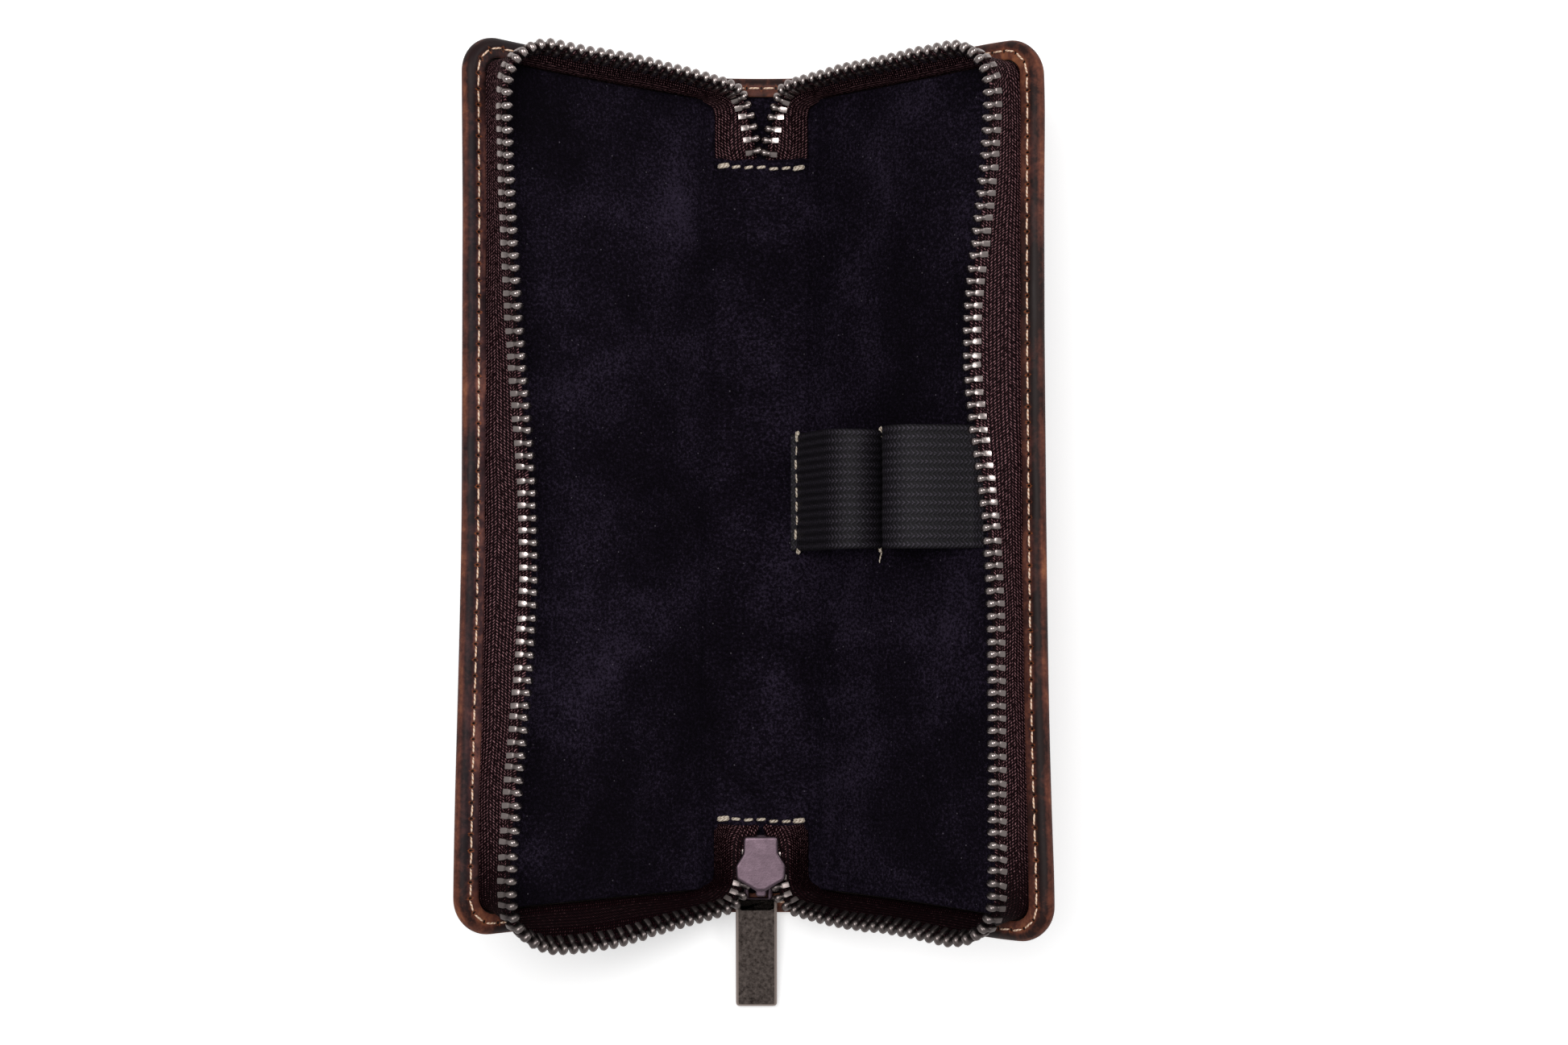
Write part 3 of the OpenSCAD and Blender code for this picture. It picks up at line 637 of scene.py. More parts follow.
@dataclass(frozen=True)
class WovenTape(Finish):
    """Woven zip tape: dark brown herringbone twill whose floats show in short slanting dashes, their glint
    painted into the colour as pale dashes.

    Lengths are in metres: from float to float, the width of a lane of floats, and the width of a
    band in which all lanes slant one way.
    """

    title: str = "zip tape herringbone"
    deep: str = "0a0204"
    middle: str = "280f14"
    # Painted glint of the floats.
    pale: str = "9a7075"
    rib: float = 0.0006
    lane: float = 0.00078
    band: float = 0.0039
    wander: float = 0.0007
    # Factor of the painted shade at the slider's end of the case.
    painted_shade: float = 0.5

    def dress(self, add: AddNode) -> Node:
        """One float every 0.6 mm along each lane of 0.78 mm, each lane half a float on from the last; they
        slant one way in one band of five lanes and the other way in the next. The floats' glint is painted
        into the colour, and painted shade darkens the last 20 mm of the case, at the slider's end.

        Args:
            add: adds a node to this finish's own tree.

        Returns:
            The surface shader.
        """
        at = add("TexCoord")
        woven = at.outputs["UV"]
        parts = add("SeparateXYZ", [woven])
        along, across = parts.outputs[0], parts.outputs[1]
        lanes = add("Math", [across, self.lane], operation="DIVIDE")
        step = add("Math", [add("Math", [lanes], operation="FLOOR"), self.rib / 2], operation="MULTIPLY")
        zigzag = add("Math", [across, self.band], operation="PINGPONG")
        slant = add("Math", [zigzag, 0.95, step], operation="MULTIPLY_ADD")
        uneven = add("TexNoise", {"Vector": woven, "Scale": 700.0, "Detail": 2.0})
        slanted = add("Math", [along, slant], operation="ADD")
        phase = add("Math", [uneven, self.wander, slanted], operation="MULTIPLY_ADD")
        angle = add("Math", [phase, FULL_TURN / self.rib], operation="MULTIPLY")
        ribs = add("Math", [add("Math", [angle], operation="SINE"), 0.5, 0.5], operation="MULTIPLY_ADD")
        half_turns = add("Math", [add("Math", [lanes], operation="FRACT"), math.pi], operation="MULTIPLY")
        bow = add("Math", [half_turns], operation="SINE")
        raised = add("Math", [ribs, bow], operation="MULTIPLY")
        # Painted glint: this noise makes the floats' pale dashes brighter and duller.
        painted_glint = add("TexNoise", {"Vector": woven, "Scale": 1500.0, "Detail": 1.0})
        painted_glint = add("MapRange", [painted_glint, 0.3, 0.7, 0.45, 1.35])
        yarn = add("Math", [raised, painted_glint], operation="MULTIPLY")
        place = add("SeparateXYZ", [at.outputs["Object"]])
        # Painted shade: the tape darkens towards the slider's end of the case.
        shade_factor = add("MapRange", [place.outputs[1], *PAINTED_SHADE_Y, self.painted_shade, 1.0], interpolation_type="SMOOTHSTEP")
        yarn = add("Math", [yarn, shade_factor], operation="MULTIPLY")
        # The pale end of the ramp is painted glint on the floats.
        base = add("ValToRGB", [yarn], stops=[(0.12, self.deep), (0.45, self.middle), (1.0, self.pale)])
        bump = add("Bump", {"Strength": 0.8, "Distance": 0.00018, "Height": raised})
        return add("BsdfPrincipled", {"Base Color": base, "Roughness": 0.6, "Normal": bump,
                                      "Specular IOR Level": 0.06})


@dataclass(frozen=True)
class AntiqueNickel(Finish):
    """Nickel-plated zinc, smoked and rubbed back: dark in its hollows, and bright on its high places, partly
    rubbed back and partly painted highlight.
    """

    title: str
    dark: str
    light: str
    rough: float
    polish: float = 0.0
    patch: float = 420.0
    # Factor of the painted shade at the slider's end of the case; 1 leaves the metal as it is.
    painted_shade: float = 1.0

    def dress(self, add: AddNode) -> Node:
        """Smoke stain in patches of about 2 mm or finer, deepest near inner corners and least where the
        piece's own "rub" says that it was rubbed back, which also paints highlight on high places and bevels
        and shade at the teeth's necks, and a fine tumbled grain. The tone is multiplied by a factor over the
        last 20 mm of the case, which paints shade at the slider's end.

        Args:
            add: adds a node to this finish's own tree.

        Returns:
            The surface shader.
        """
        at = add("TexCoord").outputs["Object"]
        # Wear and painted light: rubbed-back places, with highlight and shade painted in where the piece's
        # attribute says.
        rubbed = add("Attribute", attribute_name="wear_and_highlight").outputs["Fac"]
        stain = add("TexNoise", {"Vector": at, "Scale": self.patch, "Detail": 5.0, "Roughness": 0.65})
        hollow = add("AmbientOcclusion", {"Distance": 0.0008}, samples=8).outputs["AO"]
        high = add("Math", [rubbed, 0.7, self.polish], operation="MULTIPLY_ADD")
        tone = add("Math", [stain, 0.6, high], operation="MULTIPLY_ADD")
        tone = add("Math", [tone, hollow], operation="MULTIPLY")
        place = add("SeparateXYZ", [at])
        # Painted shade: the metal darkens towards the slider's end of the case, as far as the factor says.
        shade_factor = add("MapRange", [place.outputs[1], *PAINTED_SHADE_Y, self.painted_shade, 1.0], interpolation_type="SMOOTHSTEP")
        tone = add("Math", [tone, shade_factor], operation="MULTIPLY")
        base = add("ValToRGB", [tone], stops=[(0.15, self.dark), (0.8, self.light)])
        rough = add("MapRange", [tone, 0.2, 0.9, self.rough + 0.2, self.rough])
        grain = add("TexNoise", {"Vector": at, "Scale": 2600.0, "Detail": 2.0})
        bump = add("Bump", {"Strength": 0.2, "Distance": 0.00008, "Height": grain})
        return add("BsdfPrincipled", {"Base Color": base, "Metallic": 1.0, "Roughness": rough,
                                      "Normal": bump})


@dataclass(frozen=True)
class KnitElastic(Finish):
    """Knitted elastic: black, with cords under the knit and a fine zigzag of polyester yarn."""

    title: str = "elastic black knit"
    deep: str = "0a070b"
    middle: str = "1a161d"
    pale: str = "4a444e"
    cord: float = 0.00167
    loop: float = 0.0009

    def dress(self, add: AddNode) -> Node:
        """Cords every 1.67 mm across the band, each crossed by slanting knit loops of 0.9 mm.

        Args:
            add: adds a node to this finish's own tree.

        Returns:
            The surface shader.
        """
        knitted = add("TexCoord").outputs["UV"]
        parts = add("SeparateXYZ", [knitted])
        along, across = parts.outputs[0], parts.outputs[1]
        zigzag = add("Math", [across, self.cord / 2], operation="PINGPONG")
        slanted = add("Math", [along, zigzag], operation="ADD")
        loops = add("Math", [slanted, FULL_TURN / self.loop], operation="MULTIPLY")
        loops = add("Math", [loops], operation="SINE")
        ridge = add("Math", [across, FULL_TURN / self.cord], operation="MULTIPLY")
        ridge = add("Math", [ridge], operation="COSINE")
        fuzz = add("TexNoise", {"Vector": knitted, "Scale": 3000.0, "Detail": 2.0})
        looped = add("Math", [loops, 0.2, fuzz], operation="MULTIPLY_ADD")
        yarn = add("Math", [ridge, 0.12, looped], operation="MULTIPLY_ADD")
        base = add("ValToRGB", [yarn], stops=[(0.3, self.deep), (0.6, self.middle), (0.95, self.pale)])
        bump = add("Bump", {"Strength": 0.7, "Distance": 0.00015, "Height": yarn})
        return add("BsdfPrincipled", {"Base Color": base, "Roughness": 0.65, "Normal": bump,
                                      "Specular IOR Level": 0.25})


@dataclass(frozen=True)
class WaxedThread(Finish):
    """Waxed linen sewing thread: natural, of two plies that show as a slanting twist."""

    title: str = "thread waxed linen"
    light: str = "e6d8c6"
    dark: str = "84705e"
    twist: float = 0.0009

    def dress(self, add: AddNode) -> Node:
        """A twist of 0.9 mm along the stitch by its own map, and a little dirt in the plies.

        Args:
            add: adds a node to this finish's own tree.

        Returns:
            The surface shader.
        """
        at = add("TexCoord")
        parts = add("SeparateXYZ", [at.outputs["UV"]])
        slant = add("Math", [parts, parts.outputs[1]], operation="ADD")
        ply = add("Math", [slant, FULL_TURN / self.twist], operation="MULTIPLY")
        ply = add("Math", [ply], operation="SINE")
        fibre = add("TexNoise", {"Vector": at.outputs["Object"], "Scale": 2500.0, "Detail": 2.0})
        tone = add("Math", [ply, 0.25, fibre], operation="MULTIPLY_ADD")
        base = add("ValToRGB", [tone], stops=[(0.22, self.dark), (0.55, self.light)])
        bump = add("Bump", {"Strength": 0.5, "Distance": 0.0001, "Height": tone})
        return add("BsdfPrincipled", {"Base Color": base, "Roughness": 0.6, "Normal": bump})


@dataclass(frozen=True)
class Board(Finish):
    """Pressed fibre board or foam sheet between leather and lining: dull and even."""

    title: str = "greyboard pressed"
    dark: str = "241d1a"
    light: str = "3c322c"
    speck: float = 900.0

    def dress(self, add: AddNode) -> Node:
        """Mottle of about a millimetre on a matt sheet.

        Args:
            add: adds a node to this finish's own tree.

        Returns:
            The surface shader.
        """
        at = add("TexCoord").outputs["Object"]
        mottle = add("TexNoise", {"Vector": at, "Scale": self.speck, "Detail": 4.0})
        base = add("ValToRGB", [mottle], stops=[(0.3, self.dark), (0.7, self.light)])
        bump = add("Bump", {"Strength": 0.3, "Distance": 0.0001, "Height": mottle})
        return add("BsdfPrincipled", {"Base Color": base, "Roughness": 0.9, "Normal": bump})


@dataclass(frozen=True)
class Laminate(Finish):
    """White laminate of the table: lit up to white for the camera, plain for what it lights."""

    title: str = "table white laminate"
    colour: str = "f4f4f4"
    glow: float = 0.45

    def dress(self, add: AddNode) -> Node:
        """A matt white that glows a little where the camera sees it, with the case's shade on it.

        Args:
            add: adds a node to this finish's own tree.

        Returns:
            The surface shader.
        """
        plain = add("BsdfDiffuse", {"Color": linear(self.colour)})
        glow = add("Emission", {"Color": linear("ffffff"), "Strength": self.glow})
        seen = add("AddShader", [plain, glow])
        return add("MixShader", [add("LightPath").outputs["Is Camera Ray"], plain, seen])


# ---- The case's shape ----

class Side(Enum):
    """The two covers: the sign of X and the angle above the table in degrees."""

    LEFT = (-1, 40.0)
    RIGHT = (1, 44.3)

    @property
    def sign(self) -> int:
        """Minus 1 on the left and 1 on the right."""
        return self.value[0]

    @property
    def tilt(self) -> float:
        """Angle of the cover above the table, in radians."""
        return math.radians(self.value[1])

    @property
    def word(self) -> str:
        """The side's name in lower case."""
        return self.name.lower()


@dataclass
class CaseSizes:
    """The sizes that the pieces share, in millimetres; levels are above the leather's middle plane."""

    half_length: float = 90.0
    half_spine: float = 13.5
    cover_width: float = 61.0
    corner: float = 8.0
    mid_plane: float = 0.65
    fold_reach: float = 4.0
    rim_top: float = 3.15
    rim_low: float = 2.25
    rim_width: float = 4.2
    stitch_inset: float = 2.4
    stitch_pitch: float = 3.15
    spine_top: float = 2.45
    cover_top: float = 3.95
    strip_half: float = 72.5
    head_level: float = 13.0
    knee_level: float = 4.35
    foot_level: float = 1.95
    foot_u: float = 56.5
    foot_v: float = 85.5
    bend_u: float = 5.75

    def stretch(self, side: Side, u: Array, v: Array) -> tuple[Array, Array]:
        """Where a point of a cover lies once the leather has stretched: it grows with (u / width)^2,
        outwards most towards the slider's end and upwards most at the other, over the spine the
        ends are drawn in a little, and the right cover's corners are worn rounder.

        Args:
            side: which cover.
            u: distance from the fold in mm.
            v: distance along the case in mm.

        Returns:
            The new u and v.
        """
        share = np.clip(u / self.cover_width, 0, 1.05) ** 2
        upper, lower = smooth(v / 90), smooth(-v / 90)
        top = 0.4 * smooth((v - 50) / 40)
        if side is Side.LEFT:
            wide = 0.3 + 1.75 * lower + top
            long = 1.9 * upper - 0.65 * lower
            worn = 0
        else:
            low = np.clip((30 - v) / 110, 0, 1.1)
            wide = 0.55 + 0.9 * low + 1.5 * low ** 4 + top
            long = 1.1 * upper - 2.6 * lower
            worn = 1.6
        tucked = 0.3 * smooth((v - 50) / 40) * bell(np.maximum(u + self.half_spine, 0), 14)
        rounder = bell(np.hypot(u - self.cover_width, np.abs(v) - self.half_length), 10)
        rounder = rounder * worn * (0.55 - 0.05 * np.sign(v))
        return u + wide * share - 0.7 * rounder, v + long * share - tucked - rounder * np.sign(v)

    def cover_point(self, side: Side, u: Array, v: Array, w: Array) -> Array:
        """A cover's own coordinates to space: u along the cover, w square to it, turned by its angle.

        Args:
            side: which cover.
            u: distance from the fold.
            v: distance along the case.
            w: height above the leather's middle plane.

        Returns:
            Points, with the left cover mirrored in X.
        """
        a = side.tilt
        return together(side.sign * (self.half_spine + u * math.cos(a) - w * math.sin(a)), v,
                        self.mid_plane + u * math.sin(a) + w * math.cos(a))

    def place(self, side: Side, s: Array, v: Array, w: Array) -> Array:
        """A flat leather's coordinates to space: level over the spine, round a circular arc at the
        fold, and then straight up the cover.

        Args:
            side: which half of the case.
            s: distance from the spine's middle line, measured over the leather.
            v: distance along the case.
            w: height above the leather's middle plane.

        Returns:
            Points in the case's frame.
        """
        s, v, w = np.broadcast_arrays(s, v, w)
        u, v = self.stretch(side, s - self.half_spine, v)
        s = u + self.half_spine
        start = self.half_spine - self.fold_reach
        radius = self.fold_reach / math.tan(side.tilt / 2)
        turn = np.clip((s - start) / (2 * self.fold_reach), 0, 1) * side.tilt
        beyond = np.maximum(s - self.half_spine - self.fold_reach, 0)
        x = np.minimum(s, start) + radius * np.sin(turn) + beyond * np.cos(turn) - w * np.sin(turn)
        z = self.mid_plane + radius * (1 - np.cos(turn)) + beyond * np.sin(turn) + w * np.cos(turn)
        return together(side.sign * x, v, z)

    def bend(self, piece: Piece, side: Side, start: float, end: float) -> None:
        """Bakes the piece's place into its mesh; it does not bend the piece with the fold.

        Args:
            piece: the piece.
            side: which fold; not used.
            start: where the bend starts, in mm from the hinge line, measured square to the plane that halves
                the fold; not used.
            end: where it ends; not used.
        """
        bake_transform(piece)


CASE = CaseSizes()


@dataclass(frozen=True)
class HalfOutline:
    """Outline of half a flat sheet: from the spine's middle line round the free end of one cover.

    Attributes:
        width: from the middle line to the outer edge in mm.
        half: half of the length in mm.
        corner: radius of the outer corners in mm.
        step: spacing of the points in mm.
    """

    width: float = CASE.half_spine + CASE.cover_width
    half: float = CASE.half_length
    corner: float = CASE.corner
    step: float = 0.8

    @property
    def arc_steps(self) -> int:
        """Steps round each corner: an even number, so that one point lies at its middle."""
        return 2 * max(2, int(round(self.corner * math.pi / 4 / self.step)))

    @property
    def end_steps(self) -> int:
        """Steps along each straight end."""
        return int(round((self.width - self.corner) / self.step))

    def ring(self, inset: float) -> Array:
        """Points (s, v) round the outline, moved inwards: straight, quarter circle of the corner's
        radius less the inset, straight, quarter circle, straight.

        Args:
            inset: how far inwards in mm.

        Returns:
            The same number of points at every inset.
        """
        r = max(self.corner - inset, 0.05)
        back = max(self.corner, inset + 0.05)
        cs, cv = self.width - back, self.half - back
        side_steps = int(round(2 * (self.half - self.corner) / self.step))
        quarter = np.linspace(math.pi / 2, 0, self.arc_steps + 1)
        top = together(np.linspace(0, cs, self.end_steps + 1)[:-1], cv + r)
        arc = together(cs + r * np.cos(quarter), cv + r * np.sin(quarter))
        side = together(cs + r, np.linspace(cv, -cv, side_steps + 1)[1:-1])
        return np.concatenate([top, arc, side, arc[::-1] * [1, -1], top[::-1] * [1, -1]])

    def fill(self, inset: float) -> Array:
        """A grid inside the ring by blending its four sides: each point is the mix of the points
        across from it on both pairs of sides, less the mix of the four corners.

        Args:
            inset: the ring's inset in mm.

        Returns:
            Array of pairs (s, v), from the middle line outwards and from the top end to the low one.
        """
        ring = self.ring(inset)
        n = self.end_steps + self.arc_steps // 2
        top, low = ring[:n + 1], ring[::-1][:n + 1]
        side = ring[n:len(ring) - n]
        left = together(0.0, side[:, 1] * top[0, 1] / side[0, 1])
        a = np.linspace(0, 1, n + 1)[:, None, None]
        b = np.linspace(0, 1, len(side))[None, :, None]
        across = (1 - b) * top[:, None] + b * low[:, None]
        along = (1 - a) * left[None] + a * side[None]
        inner = (1 - b) * left[0] + b * left[-1]
        outer = (1 - b) * side[0] + b * side[-1]
        return across + along - ((1 - a) * inner + a * outer)


EDGE = HalfOutline()


# ---- Leather ----

@dataclass
class Leather:
    """The outer leather: one hide over both covers and the spine, its edges turned in and stitched.

    It is built as two halves that meet on the spine's middle line, one for each fold.
    """

    skin: float = 0.65
    edge_radius: float = 1.9
    edge_steps: int = 14
    rim_steps: int = 11
    pucker: float = 0.16
    pucker_width: float = 0.6
    rim_swell: float = 0.07
    cut_wander: float = 0.07
    billow: float = 0.16
    lowest_ripple: float = 1.8

    def section(self) -> Array:
        """Pairs (inset, height) from the outer face round the folded edge, over the rim to its cut,
        back under it and on to the inner face: half a circle of edge_radius joins the two faces.

        Returns:
            One row for each point of the section, in mm.
        """
        mid = (CASE.rim_top - self.skin) / 2
        a = np.linspace(-90, -270, self.edge_steps + 1) * math.pi / 180
        fold = together(self.edge_radius + self.edge_radius * np.cos(a), mid + self.edge_radius * np.sin(a))
        end, tuck = CASE.rim_width, CASE.rim_width - 1.4
        rim = together(np.linspace(self.edge_radius, end - 0.28, self.rim_steps + 1)[1:], CASE.rim_top)
        cut = [[end, CASE.rim_top - 0.12], [end, CASE.rim_top - 0.45], [end, CASE.rim_low + 0.1],
               [end - 0.1, CASE.rim_low], [tuck, CASE.rim_low], [tuck, self.skin], [end, self.skin]]
        return np.concatenate([fold, rim, cut])

    def worn(self, s: Array, v: Array) -> Array:
        """How much the leather is rubbed: bells round the outer corners, over both ends of the
        spine and along the fold.

        Args:
            s: distance from the spine's middle line in mm.
            v: distance along the case in mm.

        Returns:
            Values of 0 to about 1.
        """
        corner = bell(np.hypot(s - 71, np.abs(v) - 86), 10)
        ends = 0.85 * bell(s, 13) * smooth((np.abs(v) - 78) / 8)
        return corner + ends + 0.35 * bell(s - CASE.half_spine, 4)

    def edge(self, made: MeshMaker, side: Side) -> None:
        """Carries the section round the outline: puckered at each stitch hole, swollen between the
        seam and the fold, and with a cut edge that wanders.

        Args:
            made: what the surface is added to.
            side: which half.
        """
        section = self.section()
        inset, level = section.T
        travel = travelled(EDGE.ring(CASE.stitch_inset))
        rings = np.stack([EDGE.ring(d) for d in inset], axis=1)
        s, v = rings[..., 0], rings[..., 1]
        on_rim = level > 2.9
        phase = np.cos(FULL_TURN * travel / CASE.stitch_pitch)[:, None]
        pull = bell(inset - CASE.stitch_inset, self.pucker_width) * on_rim
        swell = (level > 2.0) * np.clip(inset, 0, 1.0)
        heights = level - self.pucker * pull * (0.75 + 0.5 * phase)
        heights = heights + self.rim_swell * swell * ripples(travel[:, None], inset * 2, 5, 7, 30)
        at_cut = bell(inset - CASE.rim_width, 0.4) * on_rim
        wander = self.cut_wander * ripples(travel, 0, 9, 9, 40)[:, None] * at_cut
        points = CASE.place(side, s - wander, v, heights)
        depth = travelled(section)
        over = depth - depth[self.edge_steps] + self.edge_radius
        uv = together(travel[:, None] * MM, over * MM)
        wear_and_highlight = self.worn(s, v) + 0.95 * bell(over + 1.0, 1.4)
        cut = self.edge_steps + self.rim_steps + 1
        for first, last, slot in ((0, cut, 0), (cut, cut + 1, 1), (cut + 1, len(section) - 1, 0)):
            part = slice(first, last + 1)
            made.grid(points[:, part], uv[:, part], slot, wear_and_highlight[:, part])

    def face(self, made: MeshMaker, side: Side, inset: float, level: float, lift: float) -> None:
        """Fills one face of the hide inside the section's end.

        Args:
            made: what the surface is added to.
            side: which half.
            inset: the section's end.
            level: the face's height.
            lift: how far it billows inwards, from nothing at the edges and over the spine.
        """
        sv = EDGE.fill(inset)
        s, v = sv[..., 0], sv[..., 1]
        n, m = s.shape
        from_ends = np.minimum(np.arange(m), np.arange(m)[::-1])
        steps = np.minimum(from_ends, np.arange(n)[::-1][:, None])
        rise = lift * smooth(steps * EDGE.step / 12) * smooth((s - CASE.half_spine) / 14)
        w = level + rise * (self.lowest_ripple + ripples(s * side.sign, v, 21, 14, 60))
        made.grid(CASE.place(side, s, v, w), np.full(sv.shape, 0.05), 0, self.worn(s, v))

    def build_half(self, side: Side, grain: Material, cut: Material) -> Piece:
        """Builds one half: its edge, its outer face and its inner face.

        Args:
            side: which half.
            grain: finish of the leather's face.
            cut: finish of the raw cut edge.

        Returns:
            The finished piece.
        """
        made = MeshMaker()
        self.edge(made, side)
        section = self.section()
        self.face(made, side, *section[0], self.billow)
        self.face(made, side, *section[-1], 0.0)
        piece = made.piece(f"{side.word}_outer_leather", [grain, cut], sharp=38)
        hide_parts(f"{side.word}_leather", "spine_leather")
        CASE.bend(piece, side, -CASE.fold_reach, CASE.fold_reach)
        return piece

    def build(self) -> list[Piece]:
        """Builds both halves, the right one paler and redder with wear.

        Returns:
            The left half and the right half.
        """
        cut = CutEdge().material()
        grain = PullUpLeather().material()
        worn = PullUpLeather("leather pull-up waxed worn", "1f1413", "482824", "85503f").material()
        return [self.build_half(Side.LEFT, grain, cut), self.build_half(Side.RIGHT, worn, cut)]


# ---- Lining ----

@dataclass
class Lining:
    """The suede lining: one skin over the covers and the spine, glued down into the folds."""

    thickness: float = 0.8
    under_tape: float = 1.85
    board_top: float = 1.65
    fold_at: float = 10.5
    outline: HalfOutline = HalfOutline(69.3, 84.8, 3.3)

    def plain(self, s: Array, v: Array) -> Array:
        """Height of the top face with no creases in it: low on the spine, lower still where it runs
        on under the zip's flat ends, and an S-curve up on to the padded cover.

        Args:
            s: distance from the spine's middle line in mm.
            v: distance along the case in mm.

        Returns:
            Heights in mm.
        """
        rise = smooth((s - self.fold_at - 0.1) / 6.5)
        step = smooth((np.abs(v) - CASE.strip_half + 0.15) / 0.5) * (1 - smooth((s - 12) / 4))
        top = CASE.spine_top + (CASE.cover_top - CASE.spine_top) * rise
        hump = smooth((np.abs(v) - 66) / 5) * (1 - smooth((s - 9.5) / 1.6))
        return top + hump * (1 - step) - (CASE.spine_top - self.under_tape) * step

    def heights(self, side: Side, s: Array, v: Array) -> Array:
        """Height of the top face with a crease along the fold and soft uneven ripples.

        Args:
            side: which half.
            s: distance from the spine's middle line in mm.
            v: distance along the case in mm.

        Returns:
            Heights in mm.
        """
        crease = 0.5 * bell(s - self.fold_at - 0.25 * np.sin(v / 17), 0.55)
        waves = 0.13 * ripples(s * side.sign, v, 33, 16, 60) * smooth((s - 1) / 8)
        pinch = 0.10 * ripples(s * side.sign * 1.6, v * 0.35, 12, 7, 20) * bell(s - 14, 7)
        return self.plain(s, v) - (crease - waves - pinch) * smooth((CASE.strip_half + 6 - np.abs(v)) / 6)

    def section_at(self, side: Side, sv: Array, drop: float) -> Array:
        """Points of the skin at one depth below its top face.

        Args:
            side: which half.
            sv: flat coordinates, an array of pairs.
            drop: minus the depth in mm; at the full thickness the smooth underside is given, which
                never goes below the board.

        Returns:
            Points in the case's frame.
        """
        s, v = sv[..., 0], sv[..., 1]
        v = v + np.sign(v) * 1.8 * smooth((np.abs(v) - 78) / 6) * (1 - smooth((s - 11) / 3))
        if drop > -self.thickness:
            top = self.heights(side, s, v)
            w = top + drop * np.clip((top - self.board_top) / (CASE.spine_top - self.board_top), 0.2, 1)
        else:
            w = np.maximum(self.plain(s, v) - self.thickness, self.board_top)
        return CASE.place(side, s, v, w)

    def build_half(self, side: Side, suede: Material) -> Piece:
        """Builds one half as a closed sheet: top grid, rounded edge and underside grid.

        Args:
            side: which half.
            suede: the finish.

        Returns:
            The finished piece.
        """
        section = [(0.35, 0.0), (0.12, -0.1), (0.0, -0.35), (0.12, -0.7), (0.35, -self.thickness)]
        made = MeshMaker()
        made.grid(np.stack([self.section_at(side, self.outline.ring(d), h) for d, h in section], axis=1))
        for inset, drop in (section[0], section[-1]):
            made.grid(self.section_at(side, self.outline.fill(inset), drop))
        piece = made.piece(f"{side.word}_suede_lining", [suede], sharp=60)
        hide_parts(f"{side.word}_lining", "spine_lining")
        CASE.bend(piece, side, -CASE.fold_reach, CASE.fold_reach)
        return piece

    def build(self) -> list[Piece]:
        """Builds both halves."""
        suede = Suede().material()
        return [self.build_half(side, suede) for side in Side]


# ---- Stitching ----

